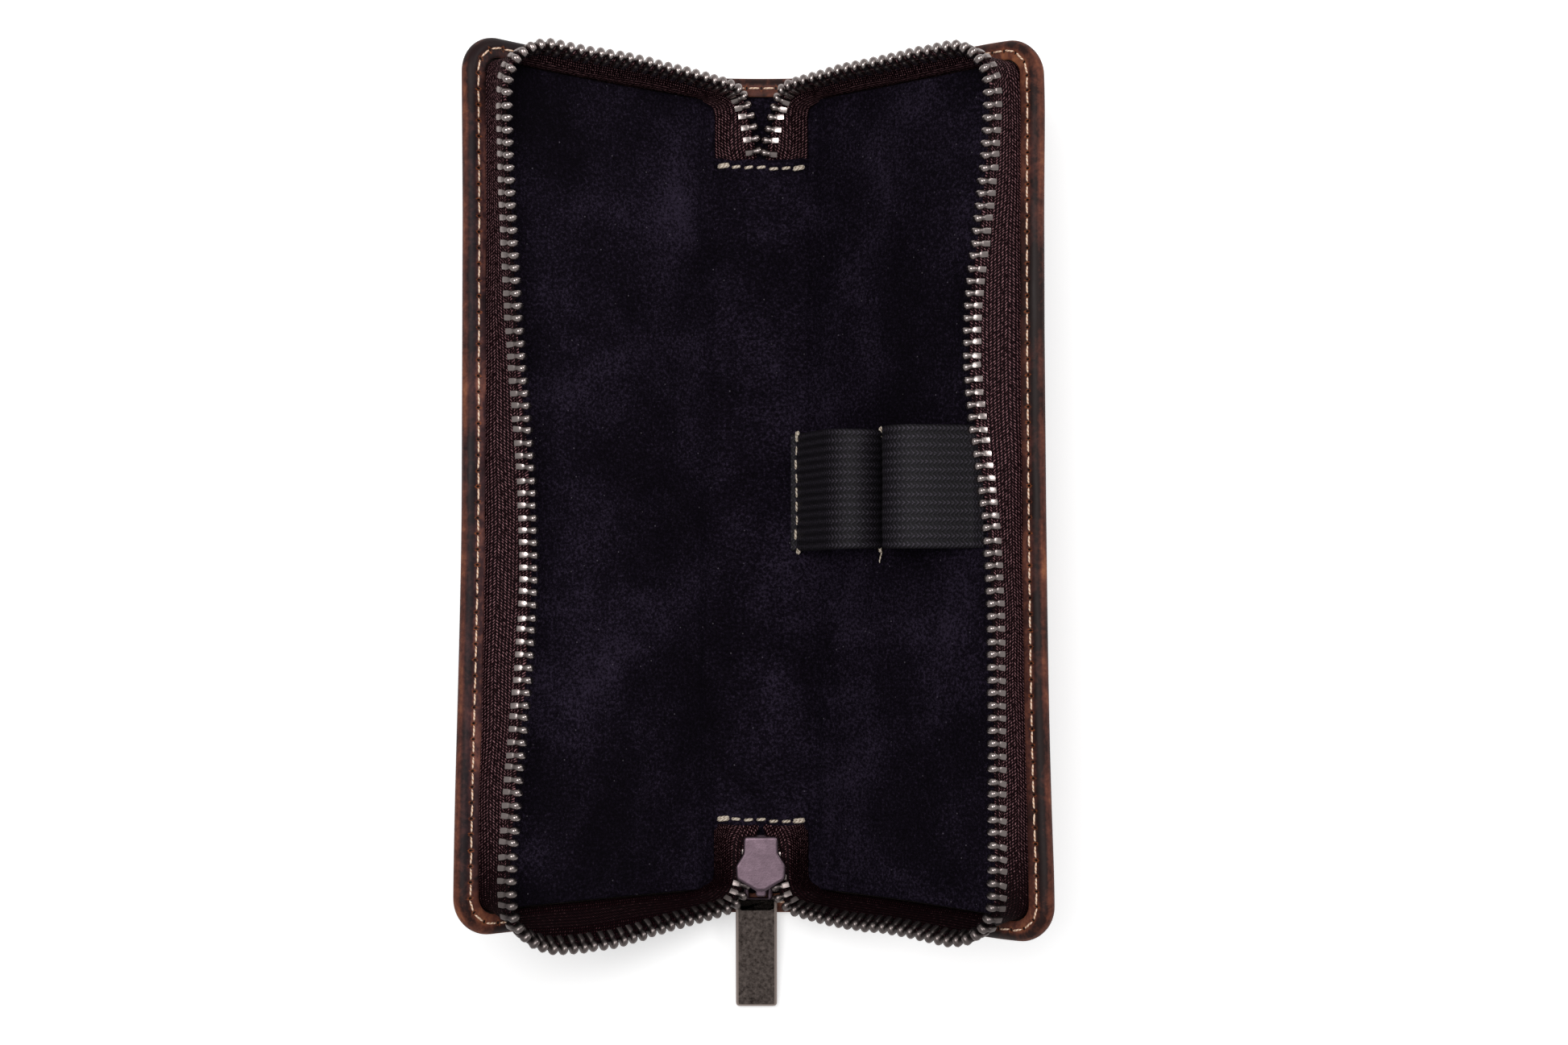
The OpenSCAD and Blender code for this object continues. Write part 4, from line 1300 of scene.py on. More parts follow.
@dataclass
class Stitching:
    """Hand stitches of waxed thread: short twisted bars whose ends dive into their holes.

    Lengths are in millimetres. A kind of stitch is a pair: its length and its thread's radius.
    """

    thread: float = 0.21
    length: float = 2.4
    sunk: float = 0.17
    strip_reach: float = 8.1
    strip_count: int = 7
    strip_inset: float = 2.3
    strip_lift: float = 0.65
    strip_stitch: tuple[float, float] = (2.15, 0.36)
    strip_locking: tuple[float, float] = (2.7, 0.42)

    def stitch(self, length: float, radius: float) -> MeshMaker:
        """One stitch along X: a circle whose radius falls off at both ends, on a low arch.

        Args:
            length: from hole to hole in mm.
            radius: thread radius in mm.

        Returns:
            The shape, with its map in metres along and round the thread.
        """
        t = np.linspace(-1, 1, 9)[:, None]
        a = np.linspace(0, FULL_TURN, 6, endpoint=False)
        r = radius * np.sqrt(np.clip(1 - np.abs(t) ** 5, 0.02, 1))
        x = t * length / 2
        z = radius * 0.9 - 0.75 * radius * t ** 4
        return lofted(together(x, r * np.cos(a), z + r * np.sin(a)), together(x * MM, a * radius * MM))

    def along(self, made: MeshMaker, shape: MeshMaker, centres: Array, ahead: Array, up: Array) -> None:
        """Puts a stitch at each centre.

        Args:
            made: what the stitches are added to.
            shape: the stitch.
            centres: where they go in mm.
            ahead: the way that each one's length takes.
            up: the way that its top points.
        """
        across = unit(np.cross(up, ahead))
        made.copies(shape, np.stack([ahead, across, np.cross(ahead, across), centres], axis=-1))

    def edge_row(self, side: Side, thread: Material) -> Piece:
        """The row round one half's rim: a stitch midway between each two holes, every pitch along
        the outline moved in by the stitch inset.

        Args:
            side: which half.
            thread: the finish.

        Returns:
            The finished piece.
        """
        line = EDGE.ring(CASE.stitch_inset)
        travel = travelled(line)
        count = int(travel[-1] / CASE.stitch_pitch)
        mid = (np.arange(count) + 0.5) * CASE.stitch_pitch
        level = CASE.rim_top - self.sunk
        at, low, high = (read_off(d, travel, line).T for d in (mid, mid - 0.4, mid + 0.4))
        centres = CASE.place(side, *at, level)
        way = CASE.place(side, *high, level) - CASE.place(side, *low, level)
        up = unit(CASE.place(side, *at, level + 1) - centres)
        wobble = np.random.default_rng(4).normal(0, 0.04, count)
        ahead = unit(way + np.cross(way, up) * wobble[:, None])
        made = MeshMaker()
        self.along(made, self.stitch(self.length, self.thread), centres, ahead, up)
        piece = made.piece(f"{side.word}_edge_stitches", [thread], sharp=80)
        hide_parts(f"{side.word}_edge_stitching", "spine_edge_stitching")
        CASE.bend(piece, side, -CASE.fold_reach, CASE.fold_reach)
        return piece

    def strip_rows(self, thread: Material) -> Piece:
        """The two rows across the spine strip's ends: seven thick stitches, the end ones doubled.

        Args:
            thread: the finish.

        Returns:
            The finished piece.
        """
        made = MeshMaker()
        rng = np.random.default_rng(8)
        level = CASE.mid_plane + CASE.spine_top + self.strip_lift
        share = np.linspace(-0.5, 0.5, self.strip_count)
        last = self.strip_count - 1
        for end in (1, -1):
            row = end * (CASE.strip_half - self.strip_inset)
            y = row - 0.6 * share + rng.normal(0, 0.12, self.strip_count)
            turn = rng.normal(0.08, 0.08, self.strip_count)
            centres = together(2 * self.strip_reach * share, y, level)
            ahead = together(np.cos(turn), np.sin(turn), 0.0)
            up = np.broadcast_to([0.0, 0.0, 1.0], ahead.shape)
            self.along(made, self.stitch(*self.strip_stitch), centres[1:-1], ahead[1:-1], up[1:-1])
            for k, lift in ((0, 0.0), (0, 0.3), (last, 0.0), (last, 0.25)):
                one = slice(k, k + 1)
                shift = [0, 0.35 - 1.2 * lift, lift]
                locking = self.stitch(*self.strip_locking)
                self.along(made, locking, centres[one] + shift, ahead[one], up[one])
        piece = made.piece("strip_end_stitches", [thread], sharp=80)
        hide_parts("strip_end_stitching")
        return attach(piece, "spine")


# ---- Zip ----

@dataclass
class Zip:
    """The metal zip: a woven tape that stands as a wall round each cover and lies flat over the
    spine, and its cast teeth, clamped on the tape's corded edge.

    Lengths are in millimetres, and bends_over is where the tape's bend starts and ends, as
    CaseSizes.bend takes it.
    """

    pitch: float = 2.5
    tooth_length: float = 3.9
    clamped: float = 1.9
    tip_radius: float = 11.0
    foot_radius: float = 4.0
    wall_run: float = 39.75
    end_y: float = 73.5
    turn_y: float = 83.0
    flat_z: float = 5.3
    slider_z: float = 9.35
    flat_foot: tuple[float, float] = (9.9, 2.9)
    turn_x: float = 2.0
    knee_x: float = 6.2
    station_step: float = 0.5
    bends_over: tuple[float, float] = (-4.5, 0.9)

    def head_u(self, side: Side, v: Array) -> Array:
        """Where a side wall's teeth stand: the foot's line, less a bell-shaped inward lean.

        Args:
            side: which cover.
            v: distance along the case in mm.

        Returns:
            Distances from the fold in mm.
        """
        if side is Side.LEFT:
            return CASE.foot_u + 1.5 - 7 * bell(v + 15, 50) + 0.8 * smooth((v - 40) / 40)
        return CASE.foot_u + 0.7 - 7 * bell(v - 28, 31)

    def end_tips(self, side: Side, u: Array, way: int) -> Array:
        """Where an end wall's teeth stand: a straight line that splays, with a low swell at the top
        end and a bulge of half a sine at the slider's end.

        Args:
            side: which cover.
            u: distance from the fold in mm.
            way: 1 for the top wall and -1 for the slider's.

        Returns:
            Distances along the case in mm.
        """
        past = u - CASE.bend_u
        t = np.clip(past / self.wall_run, 0, 1.2)
        half_sine = np.sin(np.minimum(t, 1) * math.pi)
        left = side is Side.LEFT
        if way > 0:
            swell = 0.4 * half_sine - 0.8 * smooth((t - 0.4) / 0.6) if left else -1.2 * t * t
            return CASE.foot_v + 2 + 0.07 * past + swell
        if left:
            swell = 1.4 * smooth((t - 0.35) / 0.35) + 0.5 * t * t
        else:
            swell = 0.5 * smooth((t - 0.8) / 0.3) - 1.7 * bell(t - 0.6, 0.3)
        return -(CASE.foot_v + 4 + 0.06 * past + 1.5 * half_sine + swell)

    def wall(self, side: Side, head: Array, foot: Array) -> Array:
        """Stations of the standing wall.

        Args:
            side: which cover.
            head: cover coordinates (u, v) of the tips, one row a station.
            foot: cover coordinates (u, v) of the foot.

        Returns:
            Array of n stations of 3 points: tip, knee and foot.
        """
        foot = together(*CASE.stretch(side, *foot.T))
        lines = ((head, CASE.head_level), (foot, CASE.knee_level), (foot, CASE.foot_level))
        return np.stack([CASE.cover_point(side, *line.T, level) for line, level in lines], axis=1)

    def end(self, side: Side, z: float, way: int) -> Array:
        """Stations of the flat end beside the strip: straight lines that open in a narrow V.

        Args:
            side: which cover.
            z: height of the tips in mm.
            way: 1 at the top and -1 at the slider's end.

        Returns:
            Array of n stations of 3 points.
        """
        t = np.linspace(-0.25, 1, 6)
        y = way * (self.end_y + t * (self.turn_y - self.end_y))
        level = z - 2.2 * smooth(-t / 0.25)
        open_v = 1.6 * t - 0.2 + 0.6 * np.abs(t) ** 4 if way > 0 else 2.5 * t - 0.5
        raised = (0.8 if side is Side.LEFT else 0.3) * (1 - t) * (way > 0)
        tip, knee = together(open_v, y + raised, level), together(self.knee_x, y, level)
        foot = together(self.flat_foot[0], y, self.flat_foot[1])
        return np.stack([tip, knee, foot], axis=1) * [side.sign, 1, 1]

    def turn(self, side: Side, z: float, way: int) -> Array:
        """Stations of the bend beside the fold: cubic curves from the flat end up to the wall.

        Args:
            side: which cover.
            z: height of the tips in mm.
            way: 1 at the top and -1 at the slider's end.

        Returns:
            Array of n stations of 3 points.
        """
        t = np.arange(1, 8) / 8
        head_v = abs(float(self.end_tips(side, CASE.bend_u, way)))
        foot_x, foot_z = self.flat_foot
        up_cover = np.array([math.cos(side.tilt), 0, math.sin(side.tilt)])
        lines = []
        for x, height, rise, lead, v, level in (
                (self.turn_x, z, [0, 4.5, 1.5], 5.5, head_v, CASE.head_level),
                (self.knee_x, z, [1, 1.5, 0.4], 3, CASE.foot_v, CASE.knee_level),
                (foot_x, foot_z, [1, 1.2, 0.4], 3, CASE.foot_v, CASE.foot_level)):
            low = np.array([x, self.turn_y, height])
            high = CASE.cover_point(side, CASE.bend_u, v, level) * [side.sign, 1, 1]
            lines.append(bezier(low, low + rise, high - up_cover * lead, high, t))
        return np.stack(lines, axis=1) * [side.sign, way, 1]

    def corner(self, side: Side, u: float, way: int) -> Array:
        """Stations round a corner: the tips turn on their radius, and the foot runs straight on and
        then turns in its own smaller corner.

        Args:
            side: which cover.
            u: where the corner starts, as a distance from the fold in mm.
            way: 1 at the top and -1 at the slider's end.

        Returns:
            Array of n stations of 3 points.
        """
        part = np.arange(1, 10) / 10
        part = part if way > 0 else 1 - part
        a = (1 - part) * math.pi / 2
        foot_a = (1 - np.maximum(0, 2 * part - 1)) * math.pi / 2
        tip, foot = self.tip_radius, self.foot_radius
        v = float(self.end_tips(side, u, way)) - way * tip
        foot_u = u + (CASE.foot_u - foot - u) * np.minimum(1, 2 * part)
        heads = together(u + tip * np.cos(a), v + way * tip * np.sin(a))
        foot_v = way * (CASE.foot_v - foot)
        feet = together(foot_u + foot * np.cos(foot_a), foot_v + way * foot * np.sin(foot_a))
        return self.wall(side, heads, feet)

    def stations(self, side: Side) -> Array:
        """All stations from the top end round the cover to the slider's end, evenly spaced along
        the tips and softened, so that no line has a corner in it.

        Args:
            side: which cover.

        Returns:
            Array of n stations of 3 points: tooth tip, knee and foot of the tape.
        """
        top_v = CASE.foot_v + 2 - 10
        low_v = -(CASE.foot_v + 4 - self.tip_radius)
        top_u, low_u = (float(self.head_u(side, v)) - self.tip_radius for v in (top_v, low_v))
        v = np.linspace(top_v, low_v, 25)
        top, low = (np.linspace(CASE.bend_u, u, 11) for u in (top_u, low_u))
        parts = [
            self.end(side, self.flat_z, 1),
            self.turn(side, self.flat_z, 1),
            self.wall(side, together(top, self.end_tips(side, top, 1)), together(top, CASE.foot_v)),
            self.corner(side, top_u, 1),
            self.wall(side, together(self.head_u(side, v), v), together(CASE.foot_u, v)),
            self.corner(side, low_u, -1),
            self.wall(side, together(low, self.end_tips(side, low, -1)), together(low, -CASE.foot_v))[::-1],
            self.turn(side, self.slider_z, -1)[::-1],
            self.end(side, self.slider_z, -1)[::-1],
        ]
        rows = np.concatenate(parts).reshape(-1, 9)
        along = travelled(rows[:, :3])
        t = np.arange(0, along[-1], self.station_step)
        even = soften(read_off(t, along, rows), 3.0)
        wave = 0.22 * ripples(t, 0, 51 + side.sign, 9, 45)
        even[:, 1] += wave * np.abs(np.gradient(even[:, 0], t))
        return even.reshape(-1, 3, 3)

    def build_tape(self, side: Side, weave: Material) -> Piece:
        """The tape: a thin section (foot, rounded knee, straight up to the teeth, corded edge)
        carried along the stations, its map in metres along and across the weave.

        Args:
            side: which cover.
            weave: the finish.

        Returns:
            The finished piece.
        """
        tip, knee, foot = self.stations(side).swapaxes(0, 1)
        edge = tip - unit(tip - knee) * (self.tooth_length - self.clamped)
        t = np.concatenate([np.linspace(0, 0.98, 5), np.linspace(1.02, 2, 19)])[None, :, None]
        line = np.where(t < 1, foot[:, None] * (1 - t) + knee[:, None] * t,
                        knee[:, None] * (2 - t) + edge[:, None] * (t - 1))
        line[:, 1:-1] = soften(line.swapaxes(0, 1), 1.2).swapaxes(0, 1)[:, 1:-1]
        ahead = unit(np.gradient(tip, axis=0))
        normal = unit(np.cross(np.gradient(line, axis=1), ahead[:, None]))
        along = travelled(tip)[:, None]
        across = travelled(line)
        share = across / across[:, -1:]
        half = 0.28 + 0.32 * smooth((share - 0.84) / 0.1)
        billow = 0.25 * np.sin(math.pi * share) * ripples(along, across, 71 + side.sign, 14, 50)
        front = line + normal * (half + billow)[..., None]
        back = line - normal * (half - billow)[..., None]
        bead = line[:, -1:] + unit(line[:, -1:] - line[:, -2:-1]) * 0.45
        ring = np.concatenate([front, bead, back[:, ::-1], front[:, :1]], axis=1)
        across = np.concatenate([across, across[:, -1:] + 0.4, across[:, ::-1], across[:, :1]], axis=1)
        made = MeshMaker()
        made.grid(ring, together(along, across) * MM)
        piece = made.piece(f"{side.word}_zip_tape", [weave], sharp=70)
        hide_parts(f"{side.word}_tape", f"{side.word}_tape_bends",
                    "top_tape_ends", "bottom_tape_ends")
        CASE.bend(piece, side, *self.bends_over)
        return piece

    def tooth(self) -> MeshMaker:
        """One tooth, its tip at the origin and its length along +Z: rounded rectangles that change along it
        from flat legs to a narrow neck and a round head with a boss on one side. Each row holds a section's
        height, half thickness, half width, lean, squareness and rub; that last is rubbed-back wear and
        painted light at once, painted highlight on the legs and the head's rim and painted shade at the neck.

        Returns:
            The shape, to be repeated along the tape's edge.
        """
        # The last column is rubbed-back wear and painted light at once: painted highlight on the legs and the
        # head's rim, painted shade at the neck.
        rows = np.array([
            [-3.80, 0.55, 1.12, 0.00, 6.0, 0.60],
            [-3.70, 0.67, 1.24, 0.00, 6.0, 0.80],
            [-2.40, 0.67, 1.24, 0.00, 6.0, 0.80],
            [-2.15, 0.63, 1.16, 0.00, 4.0, 0.60],
            [-1.85, 0.58, 1.10, 0.02, 3.0, 0.35],
            [-1.50, 0.67, 1.16, 0.06, 2.4, 0.35],
            [-1.00, 0.82, 1.24, 0.12, 2.2, 0.60],
            [-0.50, 0.80, 1.16, 0.12, 2.2, 1.00],
            [-0.15, 0.60, 0.85, 0.10, 2.2, 1.00],
            [0.00, 0.32, 0.45, 0.08, 2.2, 0.80]])
        z, half_x, half_y, lean, power, wear_and_highlight = rows.T[..., None]
        a = (np.arange(10) + 0.5) * FULL_TURN / 10
        c, s = np.cos(a), np.sin(a)
        x = half_x * np.sign(c) * np.abs(c) ** (2 / power) + lean
        y = half_y * np.sign(s) * np.abs(s) ** (2 / power)
        # The broad faces get more than the narrow ones, as painted highlight.
        return lofted(together(x, y, z), wear_and_highlight=wear_and_highlight * (0.75 + 0.25 * np.abs(s)))

    def build_teeth(self, side: Side, metal: Material) -> Piece:
        """The teeth: one every pitch along the tips, square to the tape, each turned and shifted by
        a hair as on a zip pressed by machine.

        Args:
            side: which cover.
            metal: the finish.

        Returns:
            The finished piece.
        """
        tip, knee, _ = self.stations(side).swapaxes(0, 1)
        along = travelled(tip)
        at = np.arange(1, int((along[-1] - 3.5) / self.pitch) + 1) * self.pitch - 0.2
        ahead, top, low = (read_off(at, along, line) for line in (unit(np.gradient(tip, axis=0)), tip, knee))
        rng = np.random.default_rng(17 + side.sign)
        up = unit(unit(top - low) + ahead * rng.normal(0, 0.05, (len(at), 1)))
        out = unit(np.cross(up, ahead))
        centre = top + up * rng.normal(0, 0.05, (len(at), 1))
        made = MeshMaker()
        made.copies(self.tooth(), np.stack([np.cross(out, up), out, up, centre], axis=-1))
        piece = made.piece(f"{side.word}_zip_teeth", [metal], sharp=50)
        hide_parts(f"{side.word}_teeth", f"{side.word}_bend_teeth",
                    "top_end_teeth", "bottom_end_teeth")
        CASE.bend(piece, side, *self.bends_over)
        return piece

    def build(self) -> list[Piece]:
        """Builds tape and teeth of both covers.

        Returns:
            The left tape and teeth, then the right ones.
        """
        weave = WovenTape().material()
        # The teeth get painted shade at the slider's end of the case.
        metal = AntiqueNickel("antique nickel teeth", "2c2425", "aa9e9b", rough=0.24, painted_shade=0.5).material()
        ways = ((self.build_tape, weave), (self.build_teeth, metal))
        return [make(side, finish) for side in Side for make, finish in ways]


# ---- Pen loops ----

@dataclass
class PenBand:
    """The elastic band, sewn down on the spine and between two open loops for pens.

    Lengths are in millimetres. A kind of stitch is a pair, its length and its thread's radius, and
    bends_over is where the band's bend starts and ends, as CaseSizes.bend takes it.
    """

    width: float = 25.0
    thickness: float = 1.0
    pen: float = 10.4
    near: float = 16.9
    far: float = 33.7
    middle: float = 22.5
    end: float = 46.0
    spine_seam: float = 5.5
    seam_half: float = 1.5
    seam_length: float = 24.0
    seam_count: int = 9
    cord: float = 1.67
    step: float = 0.25
    bends_over: tuple[float, float] = (-3.2, 6.0)
    stitch: tuple[float, float] = (2.4, 0.3)
    locking_stitch: tuple[float, float] = (2.6, 0.38)
    loose_end: tuple[float, float] = (2.6, 0.16)

    def over_pen(self, a: Array, c: Array, b: Array) -> Array:
        """The line of a string pulled over a round pen: the tangent from a, an arc of the pen's
        radius and half a band round c, and the tangent down to b.

        Args:
            a: where the string starts.
            c: the pen's middle.
            b: where it ends.

        Returns:
            Points of the line.
        """
        r = self.pen / 2 + self.thickness / 2
        left, right = c - a, b - c
        first = math.atan2(left[1], left[0]) + math.asin(r / np.linalg.norm(left)) + math.pi / 2
        last = math.atan2(right[1], right[0]) - math.asin(r / np.linalg.norm(right)) + math.pi / 2
        t = np.linspace(first, last, 30)
        return np.concatenate([[a], c + r * together(np.cos(t), np.sin(t)), [b]])

    def middle_line(self) -> Array:
        """The band's middle line in space, at even steps, from its end on the spine to its end
        under the right wall.

        Returns:
            Points in mm, from the spine outwards.
        """
        seam = CASE.cover_top + self.thickness / 2
        level = CASE.cover_top + self.pen / 2
        tilt = Side.RIGHT.tilt
        c, s = math.cos(tilt), math.sin(tilt)
        dx, dz = -self.spine_seam, CASE.spine_top + self.thickness / 2
        foot = np.array([dx * c + dz * s, dz * c - dx * s])
        before, after, end, beyond = (np.array([u, seam]) for u in (
            self.middle - self.seam_half, self.middle + self.seam_half, self.end, self.end + 3))
        near = self.over_pen(foot, np.array([self.near, level]), before)
        far = self.over_pen(after, np.array([self.far, level]), end)
        u, w = np.concatenate([near, far, [beyond]]).T
        points = CASE.cover_point(Side.RIGHT, u, 0.0, w)
        start = points[:1] + [[-1.6, 0, 0]]
        return soften(resample(np.concatenate([start, points]), self.step), 2.2)

    def build_band(self, knit: Material) -> Piece:
        """The band: its middle line carried across its width, with its cords raised as a cosine of
        the width, and both faces and selvedges closed.

        Args:
            knit: the finish.

        Returns:
            The finished piece.
        """
        line = self.middle_line()
        out = np.cross(unit(np.gradient(line, axis=0)), [0, -1.0, 0])
        out = np.where(out[:, 2:3] < 0, -out, out)[:, None]
        travel = np.arange(len(line))[:, None] * self.step
        v = np.linspace(-self.width / 2, self.width / 2, 121)
        past_edge = np.abs(v) - self.width / 2
        cords = 0.04 * np.cos(FULL_TURN * v / self.cord)
        selvedge = 0.08 * bell(past_edge + 1.7, 0.5)
        rounded = 1 - 0.55 * np.clip((past_edge + 0.6) / 0.6, 0, 1) ** 2
        half = (self.thickness / 2 * 0.94 + cords - selvedge) * rounded
        sway = 0.06 * ripples(travel, v, 90, 12, 40)
        pull = 0.15 * np.sin(travel / travel[-1] * math.pi * 3) * (v / 12.5) ** 3
        centre = line[:, None] + (v + pull)[..., None] * [0, 1.0, 0]
        top = centre + out * (half + sway)[..., None]
        low = centre - out * (half - sway)[..., None]
        uv = together(travel, v + 20) * MM
        made = MeshMaker()
        made.grid(top, uv)
        made.grid(low, uv)
        for edge in (0, -1):
            made.grid(np.stack([top[:, edge], low[:, edge]], axis=1))
        piece = made.piece("pen_loop_band", [knit], sharp=60)
        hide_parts("elastic_foot", "elastic_web", "elastic_loops")
        CASE.bend(piece, Side.RIGHT, *self.bends_over)
        return piece

    def seam(self, at: Array, up: list[float], rng: np.random.Generator) -> tuple[MeshMaker, Array, Array]:
        """One row of stitches along the case, doubled at its ends to lock it.

        Args:
            at: the stitches' middles.
            up: the way out of the band.
            rng: turns each stitch a little.

        Returns:
            The row, the way that each stitch's length takes, and up once for each stitch.
        """
        sewing = Stitching()
        made = MeshMaker()
        up = np.broadcast_to(up, at.shape)
        turn = rng.normal(0, 0.08, (len(at), 1))
        ahead = unit(np.array([0, 1.0, 0]) + np.cross([0, 1.0, 0], up) * turn)
        sewing.along(made, sewing.stitch(*self.stitch), at, ahead, up)
        for k in (0, len(at) - 1):
            one = slice(k, k + 1)
            shift = np.cross(ahead[one], up[one]) * 0.35 + up[one] * 0.18
            sewing.along(made, sewing.stitch(*self.locking_stitch), at[one] + shift, ahead[one], up[one])
        return made, ahead, up

    def build_seams(self, thread: Material) -> list[Piece]:
        """The row on the spine, and the row between the loops with its loose thread end.

        Args:
            thread: the finish.

        Returns:
            The row on the spine and the row on the cover.
        """
        rng = np.random.default_rng(3)
        v = np.linspace(-0.5, 0.5, self.seam_count) * self.seam_length
        jitter = rng.normal(0, 0.12, self.seam_count)
        x = CASE.half_spine - self.spine_seam - 0.3 + jitter
        z = CASE.mid_plane + CASE.spine_top + self.thickness - 0.1
        made, _, _ = self.seam(together(x, v, z), [0.0, 0.0, 1.0], rng)
        on_spine = made.piece("spine_seam_stitches", [thread], sharp=80)
        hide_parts("elastic_foot_stitching")
        jitter = rng.normal(0, 0.12, self.seam_count)
        level = CASE.cover_top + self.thickness + 0.4
        at = CASE.cover_point(Side.RIGHT, self.middle - 1.25 + jitter, v, level)
        tilt = Side.RIGHT.tilt
        made, ahead, up = self.seam(at, [-math.sin(tilt), 0, math.cos(tilt)], rng)
        sewing = Stitching()
        sewing.along(made, sewing.stitch(*self.loose_end), at[:1] + [0.1, -2.1, 0.15],
                     unit(ahead[:1] + [0.25, 0, 0]), up[:1])
        on_cover = made.piece("middle_seam_stitches", [thread], sharp=80)
        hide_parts("elastic_stitching")
        return [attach(on_spine, "spine"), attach(on_cover, "right_cover")]


# ---- Slider and pull ----

@dataclass
class Pull:
    """The slider, lying on its back on the slider's end of the spine, its ring and its pull tab."""

    near_y: float = -73.0
    far_y: float = -84.5
    neck: float = 3.7
    wide: float = 5.35
    low_plate: float = 6.7
    high_plate: float = 11.0
    bridge_z: float = 4.85
    bridge_foot_z: float = 7.2
    ring_at: tuple[float, float] = (-81.1, 5.975)
    tab_at: tuple[float, float] = (-88.1, 5.35)
    tab_width: float = 8.8
    tab_length: float = 24.3
    tab_t: float = 1.8
    ear: float = 1.1
    ear_reach: float = 0.75
    droop: float = 9.5
    ring_shift: float = -0.6
    tab_shift: float = -1.0
    pull_up: float = 1.1
    wire: float = 0.6
    pin_half: float = 4.2

    def outline(self) -> Array:
        """Plan of a plate: a straight neck, shoulders that swell to the widest place, and a blunt
        point, every corner rounded.

        Returns:
            Outline points, anticlockwise.
        """
        top = self.near_y
        right = [(self.neck, top, 1.0), (self.neck + 0.05, top - 3.6, 1.6), (self.wide, top - 6.2, 1.4),
                 (self.wide - 0.15, top - 9.0, 1.3), (0.9, top - 11.5, 0.7)]
        left = [(-x, y, r) for x, y, r in right[::-1]]
        return rounded_outline((right + left)[::-1])

    def bridge(self) -> MeshMaker:
        """The bridge that holds the ring: a rounded strap carried up, along the slider and down.

        Returns:
            The shape, in the case's frame.
        """
        y0, y1, z = self.far_y + 1.2, self.far_y + 8.2, self.bridge_z
        rise = [(0.4, self.bridge_foot_z), (0.4, z + 0.55), (1.0, z + 0.02), (2.0, z)]
        path = np.array([[0, y0 + y, h] for y, h in rise] + [[0, y1 - y, h] for y, h in rise[::-1]])
        path = soften(resample(path, 0.2), 1.5)
        up = np.cross([1.0, 0, 0], unit(np.gradient(path, axis=0)))
        a = np.linspace(0, FULL_TURN, 12, endpoint=False)[:, None] + 0.26
        half_x = 1.2 * np.sign(np.cos(a)) * np.abs(np.cos(a)) ** 0.5
        half_z = 0.4 * np.sign(np.sin(a)) * np.abs(np.sin(a)) ** 0.6
        return lofted(path[:, None] + half_x * [1.0, 0, 0] + half_z * up[:, None])

    def build_body(self, metal: Material) -> Piece:
        """The cast body: two plates with rolled edges, the post between them, the tongue, the lips
        that guide the chain, and the bridge that holds the ring.

        Args:
            metal: the finish.

        Returns:
            The finished piece.
        """
        made = MeshMaker()
        for z, crown in ((self.low_plate, 0), (self.high_plate, 0.02)):
            edge = [(0, 0.3), (0.15, 0.08), (0.35, 0), (0.65, 0), (0.85, 0.12), (0.98, 0.35),
                    (1 + crown, 0.6)]
            made.copies(plate(self.outline(), [(z + rise, inset) for rise, inset in edge], hub=True))
        post = oblong(-1, 1, self.far_y + 0.9, self.far_y + 3.5, (0.4, 0.4))
        made.copies(plate(post, [(7.2, 0), (11.4, 0)]))
        tongue = oblong(-1.2, 1.2, self.far_y - 1.6, self.far_y + 1.4, (0.9, 0.3))
        made.copies(plate(tongue, [(6.7, 0.2), (6.9, 0), (7.45, 0), (7.7, 0.25)]))
        for x in (-self.neck, self.neck - 0.7):
            lip = oblong(x, x + 0.7, self.near_y - 3.4, self.near_y - 0.2, (0.2, 0.2))
            made.copies(plate(lip, [(7.2, 0), (7.8, 0), (7.85, 0.1)]))
        made.copies(self.bridge())
        piece = made.piece("slider_casting", [metal], sharp=45)
        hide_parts("slider_body")
        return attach(piece, "slider")

    def build_ring(self, metal: Material) -> Piece:
        """The wire ring: a rounded oblong in its own sloping plane, and the pin through the tab.

        Args:
            metal: the finish.

        Returns:
            The finished piece.
        """
        (ring_y, ring_z), (tab_y, tab_z) = self.ring_at, self.tab_at
        reach = math.hypot(ring_y - tab_y, ring_z - tab_z)
        slope = math.degrees(math.atan2(ring_z - tab_z, ring_y - tab_y))
        half = self.tab_width / 2 - 1.9
        plan = rounded_outline([(-half, 0, 0.5), (half, 0, 0.5), (half, reach, 1.7), (-half, reach, 1.7)], 8)
        x, y = resample(np.concatenate([plan[6:], plan[:7]]), 0.3).T
        pin = together(np.linspace(-self.pin_half, self.pin_half, 8), 0.0, 0.0)
        place = tipped(slope, [self.ring_shift, tab_y + self.pull_up, tab_z])
        made = MeshMaker()
        made.copies(tube(together(x, y, 0.0), self.wire), place)
        made.copies(tube(pin, self.wire * 0.98), place)
        piece = made.piece("pull_ring_wire", [metal], sharp=50)
        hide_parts("pull_ring")
        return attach(piece, "ring")

    def build_tab(self, metal: Material) -> Piece:
        """The tab: an oblong bar with bevelled edges, cut out at the ring to leave two ears.

        Args:
            metal: the finish.

        Returns:
            The finished piece.
        """
        w, t = self.tab_width / 2, self.tab_t / 2
        end, notch = 1.0 - self.tab_length, -1.5
        right = [(w, end, 0.9), (w, self.ear_reach, 0.5), (w - self.ear, self.ear_reach, 0.3),
                 (w - self.ear, notch, 0.5)]
        left = [(-x, y, r) for x, y, r in right[::-1]]
        levels = [(-t, 0.4), (-t + 0.12, 0.14), (-t + 0.4, 0.0), (t - 0.5, 0.0), (t - 0.12, 0.3), (t, 0.5)]
